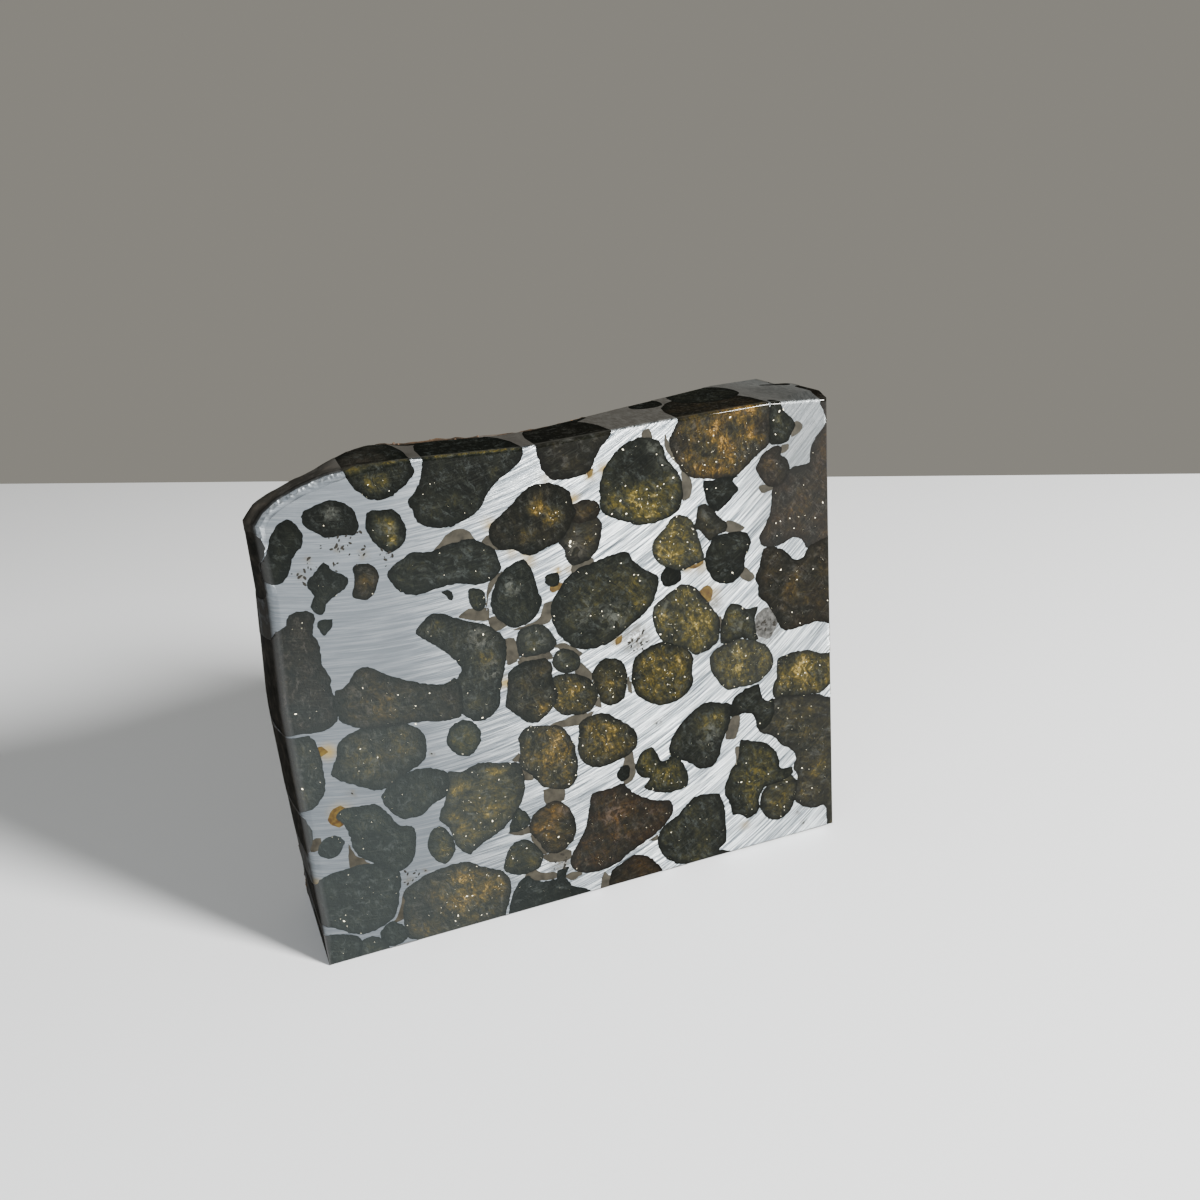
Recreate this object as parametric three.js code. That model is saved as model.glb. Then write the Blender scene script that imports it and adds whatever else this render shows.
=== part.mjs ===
// Pallasite meteorite end cut: one thick, wedge-like piece of nickel-iron set with olivine crystals.
// Its front is a polished saw cut, its top, right side and foot are saw cuts square to it,
// and its left side and back are the natural weathered outside, rounded and lumpy.
// Millimetres, +Z up. The polished face looks along -Y and the piece stands on its sawn foot.

import * as THREE from 'three';

// Driving dimensions
const halfWidth = 25;       // half the width of the polished face
const sawnBevel = 0.3;      // fine bevel where two cuts meet
const naturalBevel = 0.9;   // worn bevel between the polished face and the natural left side
const naturalRim = 2.6;     // rounding where the left side turns into the back
const sideSwell = 0.5;      // how far the left side swells out between face and back
const backSwell = 2.8;      // how far the back swells out over a flat sheet through its rim
const crystalPitch = 5.8;   // usual distance between the crystals that shape the back
const knobHeight = 0.95;    // crystals that stand out of the back
const pitDepth = 0.9;       // hollows that crystals have fallen out of
const webWidth = 3.2;       // width over which a knob or pit rises from the metal ridge beside it

// Outline of the polished face as x, z, each side from left to right or from the foot up
const footLine = [[-halfWidth, 0], [halfWidth, 0]];
const topLine = [
  [-halfWidth, 39.5], [-24.2, 40.5], [-23, 41.3], [-21.2, 42.05], [-19, 42.65], [-16.5, 42.85], [-11, 42.7],
  [-3.3, 42.3], [10, 42.7], [19, 42.9], [halfWidth, 42.5],
];
const leftLine = [
  [-halfWidth, 0], [-25.2, 8], [-25.4, 24], [-24.9, 33.5], [-halfWidth, 39.5],
];
const rightLine = [[halfWidth, 0], [halfWidth, 42.5]];

// Thickness of the piece along its rim, as place along the side and depth behind the face
const topDepths = [
  [-halfWidth, 5], [-17.3, 4.8], [-14.8, 6], [-8.8, 6.6], [-0.6, 6], [6.6, 7.8],
  [13.7, 9.7], [18.5, 11.1], [23.9, 13.1], [halfWidth, 13.6],
];
const leftDepths = [[0, 13], [12, 12.8], [24, 11], [32, 8.4], [39.5, 5]];
const footDepths = [[-halfWidth, 13], [halfWidth, 14]];
const rightDepths = [[0, 14], [42.5, 13.6]];

// Where one kind of edge turns into the other
const slopeEnd = [-20, -12];      // x of the natural slope's end on the top, where the saw cut takes over
const footBlend = 5;              // height over the foot in which the left side turns natural
const swellReach = 4;             // width of the strip by the left side that swells with it
const swellHeight = 22;           // height at which the left side has its full swell

// Lie of the crystals on the back
const crystalMargin = 0.15;       // share of a crystal's square that its middle keeps clear of
const pitShare = 0.42;            // how many of the crystals have fallen out
const lowestKnob = 0.4;           // height of the lowest knob, as a share of the highest
const ridgeTop = 0.1;             // flat width on top of a metal ridge
const swellRoundness = 0.7;       // under 1 the back is fuller towards its rim than a plain arch
const rimCalm = 0.08;             // share of the back, next to the rim, in which the relief fades

// Fineness of the surface
const stepsAcross = 42;
const stepsUp = 35;
const stepsDeep = 5;

const smooth = (low, high, value) => THREE.MathUtils.smoothstep(value, low, high);

// A polyline's point at a share of its length
function alongLine(line, share) {
  const lengths = line.slice(1).map((p, i) => Math.hypot(p[0] - line[i][0], p[1] - line[i][1]));
  let rest = share * lengths.reduce((sum, length) => sum + length, 0);
  let k = 0;
  while (k < lengths.length - 1 && rest > lengths[k]) {
    rest -= lengths[k];
    k += 1;
  }
  const t = Math.min(rest / lengths[k], 1);
  return [0, 1].map((axis) => THREE.MathUtils.lerp(line[k][axis], line[k + 1][axis], t));
}

// The value of a list of place and value pairs at a place between them
function between(pairs, place) {
  let k = 0;
  while (k < pairs.length - 2 && place > pairs[k + 1][0]) k += 1;
  const t = THREE.MathUtils.clamp((place - pairs[k][0]) / (pairs[k + 1][0] - pairs[k][0]), 0, 1);
  return THREE.MathUtils.lerp(pairs[k][1], pairs[k + 1][1], t);
}

// Repeatable random number from 0 to 1 for one crystal
function chance(i, j, salt) {
  const value = Math.sin(i * 127.1 + j * 311.7 + salt * 74.7) * 43758.5453;
  return value - Math.floor(value);
}

// Height of the natural back over a smooth one: knobs and pits with ridges of metal between them
function crystalRelief(x, z) {
  const column = Math.floor(x / crystalPitch);
  const row = Math.floor(z / crystalPitch);
  let nearest = Infinity;
  let second = Infinity;
  let lift = 0;
  for (let i = column - 2; i <= column + 2; i += 1) {
    for (let j = row - 2; j <= row + 2; j += 1) {
      const cx = (i + crystalMargin + (1 - 2 * crystalMargin) * chance(i, j, 1)) * crystalPitch;
      const cz = (j + crystalMargin + (1 - 2 * crystalMargin) * chance(i, j, 2)) * crystalPitch;
      const distance = Math.hypot(x - cx, z - cz);
      if (distance < nearest) {
        second = nearest;
        nearest = distance;
        const height = THREE.MathUtils.lerp(lowestKnob, 1, chance(i, j, 4)) * knobHeight;
        lift = chance(i, j, 3) < pitShare ? -pitDepth : height;
      } else if (distance < second) {
        second = distance;
      }
    }
  }
  return lift * smooth(ridgeTop, webWidth, second - nearest);
}

// The points of one side of the rim, in the order that goes round with the foot first
function sidePoints(line, depths, axis, steps, backwards) {
  const points = [];
  for (let i = 0; i < steps; i += 1) {
    const [x, z] = alongLine(line, backwards ? 1 - i / steps : i / steps);
    points.push({ x, z, depth: between(depths, axis === 'x' ? x : z) });
  }
  return points;
}

// The rim, once round as seen from the front: foot, right side, top, left side
function rimPoints() {
  const points = [
    ...sidePoints(footLine, footDepths, 'x', stepsAcross, false),
    ...sidePoints(rightLine, rightDepths, 'z', stepsUp, false),
    ...sidePoints(topLine, topDepths, 'x', stepsAcross, true),
    ...sidePoints(leftLine, leftDepths, 'z', stepsUp, true),
  ];
  points.forEach((point, i) => {
    const before = points[(i + points.length - 1) % points.length];
    const after = points[(i + 1) % points.length];
    const normals = [[before, point], [point, after]].map(([from, to]) => {
      const length = Math.hypot(to.x - from.x, to.z - from.z);
      return [(to.z - from.z) / length, (from.x - to.x) / length];
    });
    const mitre = 1 + normals[0][0] * normals[1][0] + normals[0][1] * normals[1][1];
    point.outX = (normals[0][0] + normals[1][0]) / mitre;
    point.outZ = (normals[0][1] + normals[1][1]) / mitre;
    // 1 on the natural left side and its slope up to the top, 0 on the saw cuts
    const natural = (1 - smooth(slopeEnd[0], slopeEnd[1], point.x)) * smooth(0, footBlend, point.z);
    const nearLeft = 1 - smooth(-halfWidth, swellReach - halfWidth, point.x);
    point.bevel = THREE.MathUtils.lerp(sawnBevel, naturalBevel, natural);
    point.rim = THREE.MathUtils.lerp(sawnBevel, naturalRim, natural);
    point.swell = sideSwell * nearLeft * smooth(0, swellHeight, point.z);
  });
  return points;
}

// Where each ring round the side lies: an inset from the outline and a depth behind the face
function sideRings(point) {
  const { depth, bevel, rim, swell } = point;
  const quarter = 1 - Math.SQRT1_2;
  const rings = [[bevel, 0], [bevel * quarter, bevel * quarter], [0, bevel]];
  const flat = depth - bevel - rim;
  for (let k = 1; k <= stepsDeep; k += 1) {
    const share = k / stepsDeep;
    rings.push([-swell * Math.sin(Math.PI * share), bevel + flat * share]);
  }
  rings.push([rim * quarter, depth - rim * quarter], [rim, depth]);
  return rings;
}

// A point of the back, on a sheet stretched between its four sides, swollen out and lumpy
function backPoint(u, v, foot, top, left, right, corners) {
  const [x, y, z] = [0, 1, 2].map((axis) => (
    (1 - v) * foot[axis] + v * top[axis] + (1 - u) * left[axis] + u * right[axis]
    - (1 - u) * (1 - v) * corners[0][axis] - u * (1 - v) * corners[1][axis]
    - (1 - u) * v * corners[2][axis] - u * v * corners[3][axis]
  ));
  const arch = (Math.sin(Math.PI * u) * Math.sin(Math.PI * v)) ** swellRoundness;
  const fromRim = Math.min(u, 1 - u, v, 1 - v);
  return [x, y + backSwell * arch + crystalRelief(x, z) * smooth(0, rimCalm, fromRim), z];
}

function endCutGeometry() {
  const rim = rimPoints();
  const around = rim.length;
  const rings = rim.map(sideRings);
  const ringCount = rings[0].length;
  const positions = [];
  const triangles = [];
  for (let k = 0; k < ringCount; k += 1) {
    rim.forEach((point, i) => {
      const [inset, depth] = rings[i][k];
      positions.push([point.x - point.outX * inset, depth, point.z - point.outZ * inset]);
    });
  }

  // The polished face, flat, as a fan from its middle
  const faceMiddle = positions.length;
  positions.push([0, 0, rightLine[1][1] / 2]);
  for (let i = 0; i < around; i += 1) triangles.push(faceMiddle, i, (i + 1) % around);

  // The sides, ring by ring
  for (let k = 0; k < ringCount - 1; k += 1) {
    for (let i = 0; i < around; i += 1) {
      const near = k * around + i;
      const next = k * around + ((i + 1) % around);
      triangles.push(near, near + around, next + around, near, next + around, next);
    }
  }

  // The back, whose four sides are the points of the last ring
  const lastRing = (ringCount - 1) * around;
  const footAt = (i) => lastRing + i;
  const rightAt = (j) => lastRing + stepsAcross + j;
  const topAt = (i) => lastRing + 2 * stepsAcross + stepsUp - i;
  const leftAt = (j) => lastRing + ((around - j) % around);
  const corners = [footAt(0), rightAt(0), topAt(0), rightAt(stepsUp)].map((n) => positions[n]);
  const pointAt = (i, j) => {
    if (j === 0) return footAt(i);
    if (i === stepsAcross) return rightAt(j);
    if (j === stepsUp) return topAt(i);
    if (i === 0) return leftAt(j);
    const sides = [footAt(i), topAt(i), leftAt(j), rightAt(j)].map((n) => positions[n]);
    positions.push(backPoint(i / stepsAcross, j / stepsUp, ...sides, corners));
    return positions.length - 1;
  };
  const grid = [];
  for (let i = 0; i <= stepsAcross; i += 1) {
    grid.push([]);
    for (let j = 0; j <= stepsUp; j += 1) grid[i].push(pointAt(i, j));
  }
  for (let i = 0; i < stepsAcross; i += 1) {
    for (let j = 0; j < stepsUp; j += 1) {
      const [low, high] = [grid[i][j], grid[i][j + 1]];
      const [lowNext, highNext] = [grid[i + 1][j], grid[i + 1][j + 1]];
      triangles.push(low, high, highNext, low, highNext, lowNext);
    }
  }

  const geometry = new THREE.BufferGeometry();
  geometry.setAttribute('position', new THREE.Float32BufferAttribute(positions.flat(), 3));
  geometry.setIndex(triangles);

  // The origin is in the middle of the foot
  geometry.computeBoundingBox();
  const middle = geometry.boundingBox.getCenter(new THREE.Vector3());
  geometry.translate(-middle.x, -middle.y, -geometry.boundingBox.min.z);
  geometry.computeVertexNormals();
  return geometry;
}

const pallasite = new THREE.MeshStandardMaterial({ color: 0x6d6a60, roughness: 0.45, metalness: 0.5 });

const endCut = new THREE.Mesh(endCutGeometry(), pallasite);
endCut.name = 'end_cut';

const model = new THREE.Group();
model.add(endCut);

export default model;
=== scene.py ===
import math
import bmesh
import bpy
import numpy as np
from mathutils import Matrix, Vector, noise
from mathutils.kdtree import KDTree


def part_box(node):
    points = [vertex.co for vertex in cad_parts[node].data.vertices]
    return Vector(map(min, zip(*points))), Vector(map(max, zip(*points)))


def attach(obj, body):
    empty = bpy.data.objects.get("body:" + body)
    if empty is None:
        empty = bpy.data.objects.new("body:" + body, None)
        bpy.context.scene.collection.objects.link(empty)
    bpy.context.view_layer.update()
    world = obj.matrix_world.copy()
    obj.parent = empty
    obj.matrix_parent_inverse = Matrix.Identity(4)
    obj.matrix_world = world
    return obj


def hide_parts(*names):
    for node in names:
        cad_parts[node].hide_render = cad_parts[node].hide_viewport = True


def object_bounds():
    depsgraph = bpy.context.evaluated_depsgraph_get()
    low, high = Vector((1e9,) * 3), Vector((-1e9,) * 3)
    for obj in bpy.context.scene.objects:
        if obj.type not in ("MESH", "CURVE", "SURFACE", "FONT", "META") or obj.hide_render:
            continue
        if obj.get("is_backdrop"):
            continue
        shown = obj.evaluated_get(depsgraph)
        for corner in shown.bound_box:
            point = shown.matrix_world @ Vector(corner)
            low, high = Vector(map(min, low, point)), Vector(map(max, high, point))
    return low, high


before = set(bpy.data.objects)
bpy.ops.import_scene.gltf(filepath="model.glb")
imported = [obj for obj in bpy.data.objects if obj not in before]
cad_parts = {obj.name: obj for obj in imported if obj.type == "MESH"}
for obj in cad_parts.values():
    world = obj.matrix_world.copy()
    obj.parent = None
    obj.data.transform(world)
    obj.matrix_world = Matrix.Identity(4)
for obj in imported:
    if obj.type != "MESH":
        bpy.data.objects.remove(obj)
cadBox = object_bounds()
endCutLow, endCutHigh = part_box("end_cut")

# Shapes are worked out in millimetres in the polished face's own frame:
# x to the right from its middle, y back from the face, z up from the sawn foot
mm = 0.001
halfWidth = 25.0
faceShift = np.array([endCutHigh.x / mm - halfWidth, endCutLow.y / mm, 0.0])


def placed(points):
    return (np.asarray(points, float) + faceShift) * mm


def smoothStep(low, high, value):
    share = np.clip((np.asarray(value, float) - low) / (high - low), 0.0, 1.0)
    return share * share * (3 - 2 * share)


def setSockets(node, values):
    for name, value in values.items():
        node.inputs[name].default_value = value


# Camera at the photo's viewing angle, worked out from the face's edges
camera = {
    "place": (-31.011, -92.741, 62.816),
    "forward": (0.31909, 0.88773, -0.33184),
    "up": (0.18767, 0.28402, 0.94027),
    "lens": 36.62,
    "sensorWidth": 36.0,
    "clip": (0.005, 20.0),
}


def makeCamera():
    data = bpy.data.cameras.new("camera")
    data.lens = camera["lens"]
    data.sensor_width = camera["sensorWidth"]
    data.clip_start, data.clip_end = camera["clip"]
    view = bpy.data.objects.new("camera", data)
    bpy.context.scene.collection.objects.link(view)
    back = -Vector(camera["forward"]).normalized()
    side = Vector(camera["up"]).cross(back).normalized()
    turn = Matrix((side, back.cross(side), back)).transposed()
    view.matrix_world = Matrix.Translation(placed(camera["place"])) @ turn.to_4x4()
    bpy.context.scene.camera = view


makeCamera()
print("camera made")

# The whole piece, before its crystals are let into the metal
stone = {
    "foot": [(-25, 0), (25, 0)],
    "right": [(25, 0), (25, 42.5)],
    "top": [(-25, 39.5), (-24.2, 40.5), (-23, 41.3), (-21.2, 42.05), (-19, 42.65), (-16.5, 42.85),
            (-11, 42.7), (-3.3, 42.3), (10, 42.7), (19, 42.9), (25, 42.5)],
    "left": [(-25, 0), (-25.2, 8), (-25.4, 24), (-24.9, 33.5), (-25, 39.5)],
    "footDepths": [(-25, 13), (25, 14)],
    "rightDepths": [(0, 14), (42.5, 13.6)],
    "topDepths": [(-25, 5), (-17.3, 4.8), (-14.8, 6), (-8.8, 6.6), (-0.6, 6), (6.6, 7.8),
                  (13.7, 9.7), (18.5, 11.1), (23.9, 13.1), (25, 13.6)],
    "leftDepths": [(0, 13), (12, 12.8), (24, 11), (32, 8.4), (39.5, 5)],
    "sawnBevel": 0.3,
    "naturalBevel": 0.9,
    "naturalRim": 2.6,
    "slopeEnd": (-20, -12),
    "footBlend": 5,
    "crustBlend": 0.8,
    "sideSwell": 0.5,
    "swellReach": 4,
    "swellHeight": 22,
    "backSwell": 2.8,
    "swellRoundness": 0.7,
    "rimCalm": 0.08,
    "crustStart": (0.1, 0.5),
    "roughStart": (0.55, 1.0),
    "lipHeight": 0.45,
    "lipAlong": (20.5, 23.5),
    "lipStart": (0.2, 1.6),
    "lipEnd": (10, 6),
    "humpHeight": 0.5,
    "humpLeft": (-20, -17),
    "humpRight": (-11, -15),
    "humpStart": (0.9, 2.4),
    "proudFrom": (40, 42),
    "stepsAcross": 126,
    "stepsUp": 107,
    "stepsDeep": 34,
}
backCrystals = {
    "pitch": 5.8,
    "margin": 0.15,
    "pitShare": 0.42,
    "knobHeight": 0.95,
    "lowestKnob": 0.4,
    "pitDepth": 0.9,
    "ridgeTop": 0.1,
    "webWidth": 3.2,
}


def alongLine(line, share):
    points = np.array(line, float)
    lengths = np.hypot(*np.diff(points, axis=0).T)
    places = np.concatenate([[0], np.cumsum(lengths)])
    at = np.asarray(share) * places[-1]
    return np.interp(at, places, points[:, 0]), np.interp(at, places, points[:, 1])


def between(pairs, place):
    table = np.array(pairs, float)
    return np.interp(place, table[:, 0], table[:, 1])


def chance(i, j, salt):
    value = np.sin(i * 127.1 + j * 311.7 + salt * 74.7) * 43758.5453
    return value - np.floor(value)


def backCell(i, j):
    pitch, margin = backCrystals["pitch"], backCrystals["margin"]
    x = (i + margin + (1 - 2 * margin) * chance(i, j, 1)) * pitch
    z = (j + margin + (1 - 2 * margin) * chance(i, j, 2)) * pitch
    lowest = backCrystals["lowestKnob"]
    height = (lowest + (1 - lowest) * chance(i, j, 4)) * backCrystals["knobHeight"]
    fallen = chance(i, j, 3) < backCrystals["pitShare"]
    return x, z, np.where(fallen, -backCrystals["pitDepth"], height)


def crystalRelief(x, z):
    pitch = backCrystals["pitch"]
    column, row = np.floor(x / pitch), np.floor(z / pitch)
    nearest = np.full(x.shape, np.inf)
    second = np.full(x.shape, np.inf)
    lift = np.zeros(x.shape)
    for di in range(-2, 3):
        for dj in range(-2, 3):
            cx, cz, height = backCell(column + di, row + dj)
            distance = np.hypot(x - cx, z - cz)
            closer = distance < nearest
            second = np.where(closer, nearest, np.minimum(second, distance))
            lift = np.where(closer, height, lift)
            nearest = np.where(closer, distance, nearest)
    return lift * smoothStep(backCrystals["ridgeTop"], backCrystals["webWidth"], second - nearest)


def rimPoints():
    across, up = stone["stepsAcross"], stone["stepsUp"]
    sides = [("foot", 0, across, False), ("right", 1, up, False),
             ("top", 0, across, True), ("left", 1, up, True)]
    points, depths = [], []
    for side, axis, steps, backwards in sides:
        share = np.arange(steps) / steps
        spot = alongLine(stone[side], 1 - share if backwards else share)
        points.append(np.stack(spot, 1))
        depths.append(between(stone[side + "Depths"], spot[axis]))
    points, depths = np.concatenate(points), np.concatenate(depths)
    step = np.roll(points, -1, 0) - points
    step /= np.hypot(*step.T)[:, None]
    normal = np.stack([step[:, 1], -step[:, 0]], 1)
    before = np.roll(normal, 1, 0)
    out = (normal + before) / (1 + (normal * before).sum(1))[:, None]
    notSawn = 1 - smoothStep(*stone["slopeEnd"], points[:, 0])
    natural = notSawn * smoothStep(0, stone["footBlend"], points[:, 1])
    weathered = notSawn * smoothStep(0, stone["crustBlend"], points[:, 1])
    nearLeft = 1 - smoothStep(-halfWidth, stone["swellReach"] - halfWidth, points[:, 0])
    swell = stone["sideSwell"] * nearLeft * smoothStep(0, stone["swellHeight"], points[:, 1])
    bevel = stone["sawnBevel"] + (stone["naturalBevel"] - stone["sawnBevel"]) * natural
    rim = stone["sawnBevel"] + (stone["naturalRim"] - stone["sawnBevel"]) * natural
    return points, out, depths, weathered, swell, bevel, rim


def sheetBetween(ring, across, up):
    # a sheet stretched between the four sides of a ring
    around = len(ring)
    u = np.linspace(0, 1, across + 1)[:, None, None]
    v = np.linspace(0, 1, up + 1)[None, :, None]
    foot = ring[:across + 1][:, None, :]
    right = ring[across:across + up + 1][None, :, :]
    top = ring[across + up:2 * across + up + 1][::-1][:, None, :]
    left = ring[(around - np.arange(up + 1)) % around][None, :, :]
    corners = ring[0], ring[across], ring[2 * across + up], ring[across + up]
    sheet = (1 - v) * foot + v * top + (1 - u) * left + u * right
    sheet = sheet - (1 - u) * (1 - v) * corners[0] - u * (1 - v) * corners[1]
    return sheet - (1 - u) * v * corners[2] - u * v * corners[3]


def sheetIndex(firstOfRing, firstInside, across, up):
    around = 2 * (across + up)
    index = np.zeros((across + 1, up + 1), int)
    index[1:-1, 1:-1] = firstInside + np.arange((across - 1) * (up - 1)).reshape(across - 1, up - 1)
    index[:, 0] = firstOfRing + np.arange(across + 1)
    index[-1, :] = firstOfRing + across + np.arange(up + 1)
    index[:, -1] = firstOfRing + 2 * across + up - np.arange(across + 1)
    index[0, :] = firstOfRing + (around - np.arange(up + 1)) % around
    return index


def quadsOf(index):
    return np.stack([index[:-1, :-1], index[:-1, 1:], index[1:, 1:], index[1:, :-1]], -1).reshape(-1, 4)


def rimLift(x, depth, z):
    # proud places behind the polished face: a sawn lip at the top right, a natural hump at the left
    lip = smoothStep(*stone["lipAlong"], x) * smoothStep(*stone["lipStart"], depth)
    lip = lip * smoothStep(*stone["lipEnd"], depth)
    hump = smoothStep(*stone["humpLeft"], x) * smoothStep(*stone["humpRight"], x)
    hump = hump * smoothStep(*stone["humpStart"], depth)
    return (stone["lipHeight"] * lip + stone["humpHeight"] * hump) * smoothStep(*stone["proudFrom"], z)


def bodySurface():
    # the closed outside: front sheet, rings round the side, back sheet
    across, up, deep = stone["stepsAcross"], stone["stepsUp"], stone["stepsDeep"]
    points, out, depths, weathered, swell, bevel, rim = rimPoints()
    around = len(points)
    flat = depths - bevel - rim
    quarter = np.radians([22.5, 45, 67.5])
    rings = [(bevel, 0 * depths)]
    rings += [(bevel * (1 - math.sin(a)), bevel * (1 - math.cos(a))) for a in quarter]
    rings.append((0 * depths, bevel))
    for share in np.arange(1, deep + 1) / deep:
        rings.append((-swell * math.sin(math.pi * share), bevel + flat * share))
    rings += [(rim * (1 - math.cos(a)), depths - rim * (1 - math.sin(a))) for a in quarter]
    rings.append((rim, depths))
    side = []
    for inset, depth in rings:
        x, z = points[:, 0] - out[:, 0] * inset, points[:, 1] - out[:, 1] * inset
        side.append(np.stack([x, depth, z + rimLift(x, depth, z)], 1))
    # how weathered each ring is: the polished face and its bevel aren't, and the left side is smooth
    sideNatural = [weathered * smoothStep(*stone["crustStart"], depth) for inset, depth in rings]
    sideRough = [weathered * smoothStep(*stone["roughStart"], depth / depths) for inset, depth in rings]
    frontSheet = sheetBetween(side[0], across, up)
    backSheet = sheetBetween(side[-1], across, up)
    u = np.linspace(0, 1, across + 1)[:, None]
    v = np.linspace(0, 1, up + 1)[None, :]
    arch = np.maximum(np.sin(np.pi * u) * np.sin(np.pi * v), 0) ** stone["swellRoundness"]
    fromRim = np.minimum(np.minimum(u, 1 - u), np.minimum(v, 1 - v))
    relief = crystalRelief(backSheet[..., 0], backSheet[..., 2])
    backSheet[..., 1] += stone["backSwell"] * arch + relief * smoothStep(0, stone["rimCalm"], fromRim)
    inside = (slice(1, -1), slice(1, -1))
    points = np.concatenate(side + [sheet[inside].reshape(-1, 3) for sheet in (frontSheet, backSheet)])
    insideCount = (across - 1) * (up - 1)
    ends = [np.zeros(insideCount), np.ones(insideCount)]
    mask, rough = np.concatenate(sideNatural + ends), np.concatenate(sideRough + ends)
    ringCount = len(side)
    faces = []
    for k in range(ringCount - 1):
        near = k * around + np.arange(around)
        following = k * around + (np.arange(around) + 1) % around
        faces.append(np.stack([near, near + around, following + around, following], 1))
    front = quadsOf(sheetIndex(0, ringCount * around, across, up))[:, ::-1]
    back = quadsOf(sheetIndex((ringCount - 1) * around, ringCount * around + insideCount, across, up))
    return points, np.concatenate(faces + [front, back]), mask, rough


def meshFrom(name, points, faces):
    mesh = bpy.data.meshes.new(name)
    points = np.asarray(points, np.float32)
    faces = [np.asarray(face, np.int32) for face in faces]
    sizes = np.array([len(face) for face in faces], np.int32)
    mesh.vertices.add(len(points))
    mesh.vertices.foreach_set("co", points.ravel())
    mesh.loops.add(int(sizes.sum()))
    mesh.loops.foreach_set("vertex_index", np.concatenate(faces))
    mesh.polygons.add(len(faces))
    starts = np.concatenate([[0], np.cumsum(sizes)[:-1]])
    mesh.polygons.foreach_set("loop_start", starts.astype(np.int32))
    mesh.update(calc_edges=True)
    mesh.validate()
    return mesh


def readPoints(mesh):
    points = np.zeros(len(mesh.vertices) * 3, np.float32)
    mesh.vertices.foreach_get("co", points)
    return points.reshape(-1, 3).astype(float)


def setAttribute(mesh, name, values, kind="FLOAT", domain="POINT"):
    layer = mesh.attributes.get(name) or mesh.attributes.new(name, kind, domain)
    layer.data.foreach_set("value", values)


def readFaceAttribute(mesh, name):
    values = np.zeros(len(mesh.polygons), np.int32)
    mesh.attributes[name].data.foreach_get("value", values)
    return values


def sceneObject(name, mesh):
    piece = bpy.data.objects.new(name, mesh)
    bpy.context.scene.collection.objects.link(piece)
    return piece


def cutOrMeet(mesh, cutter, operation):
    # one boolean, as a plain mesh
    work = sceneObject("work", mesh)
    tool = sceneObject("tool", cutter)
    change = work.modifiers.new("change", "BOOLEAN")
    change.solver = "MANIFOLD"
    change.operation = operation
    change.object = tool
    result = bpy.data.meshes.new_from_object(work.evaluated_get(bpy.context.evaluated_depsgraph_get()))
    bpy.data.objects.remove(work)
    bpy.data.objects.remove(tool)
    return result


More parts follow.
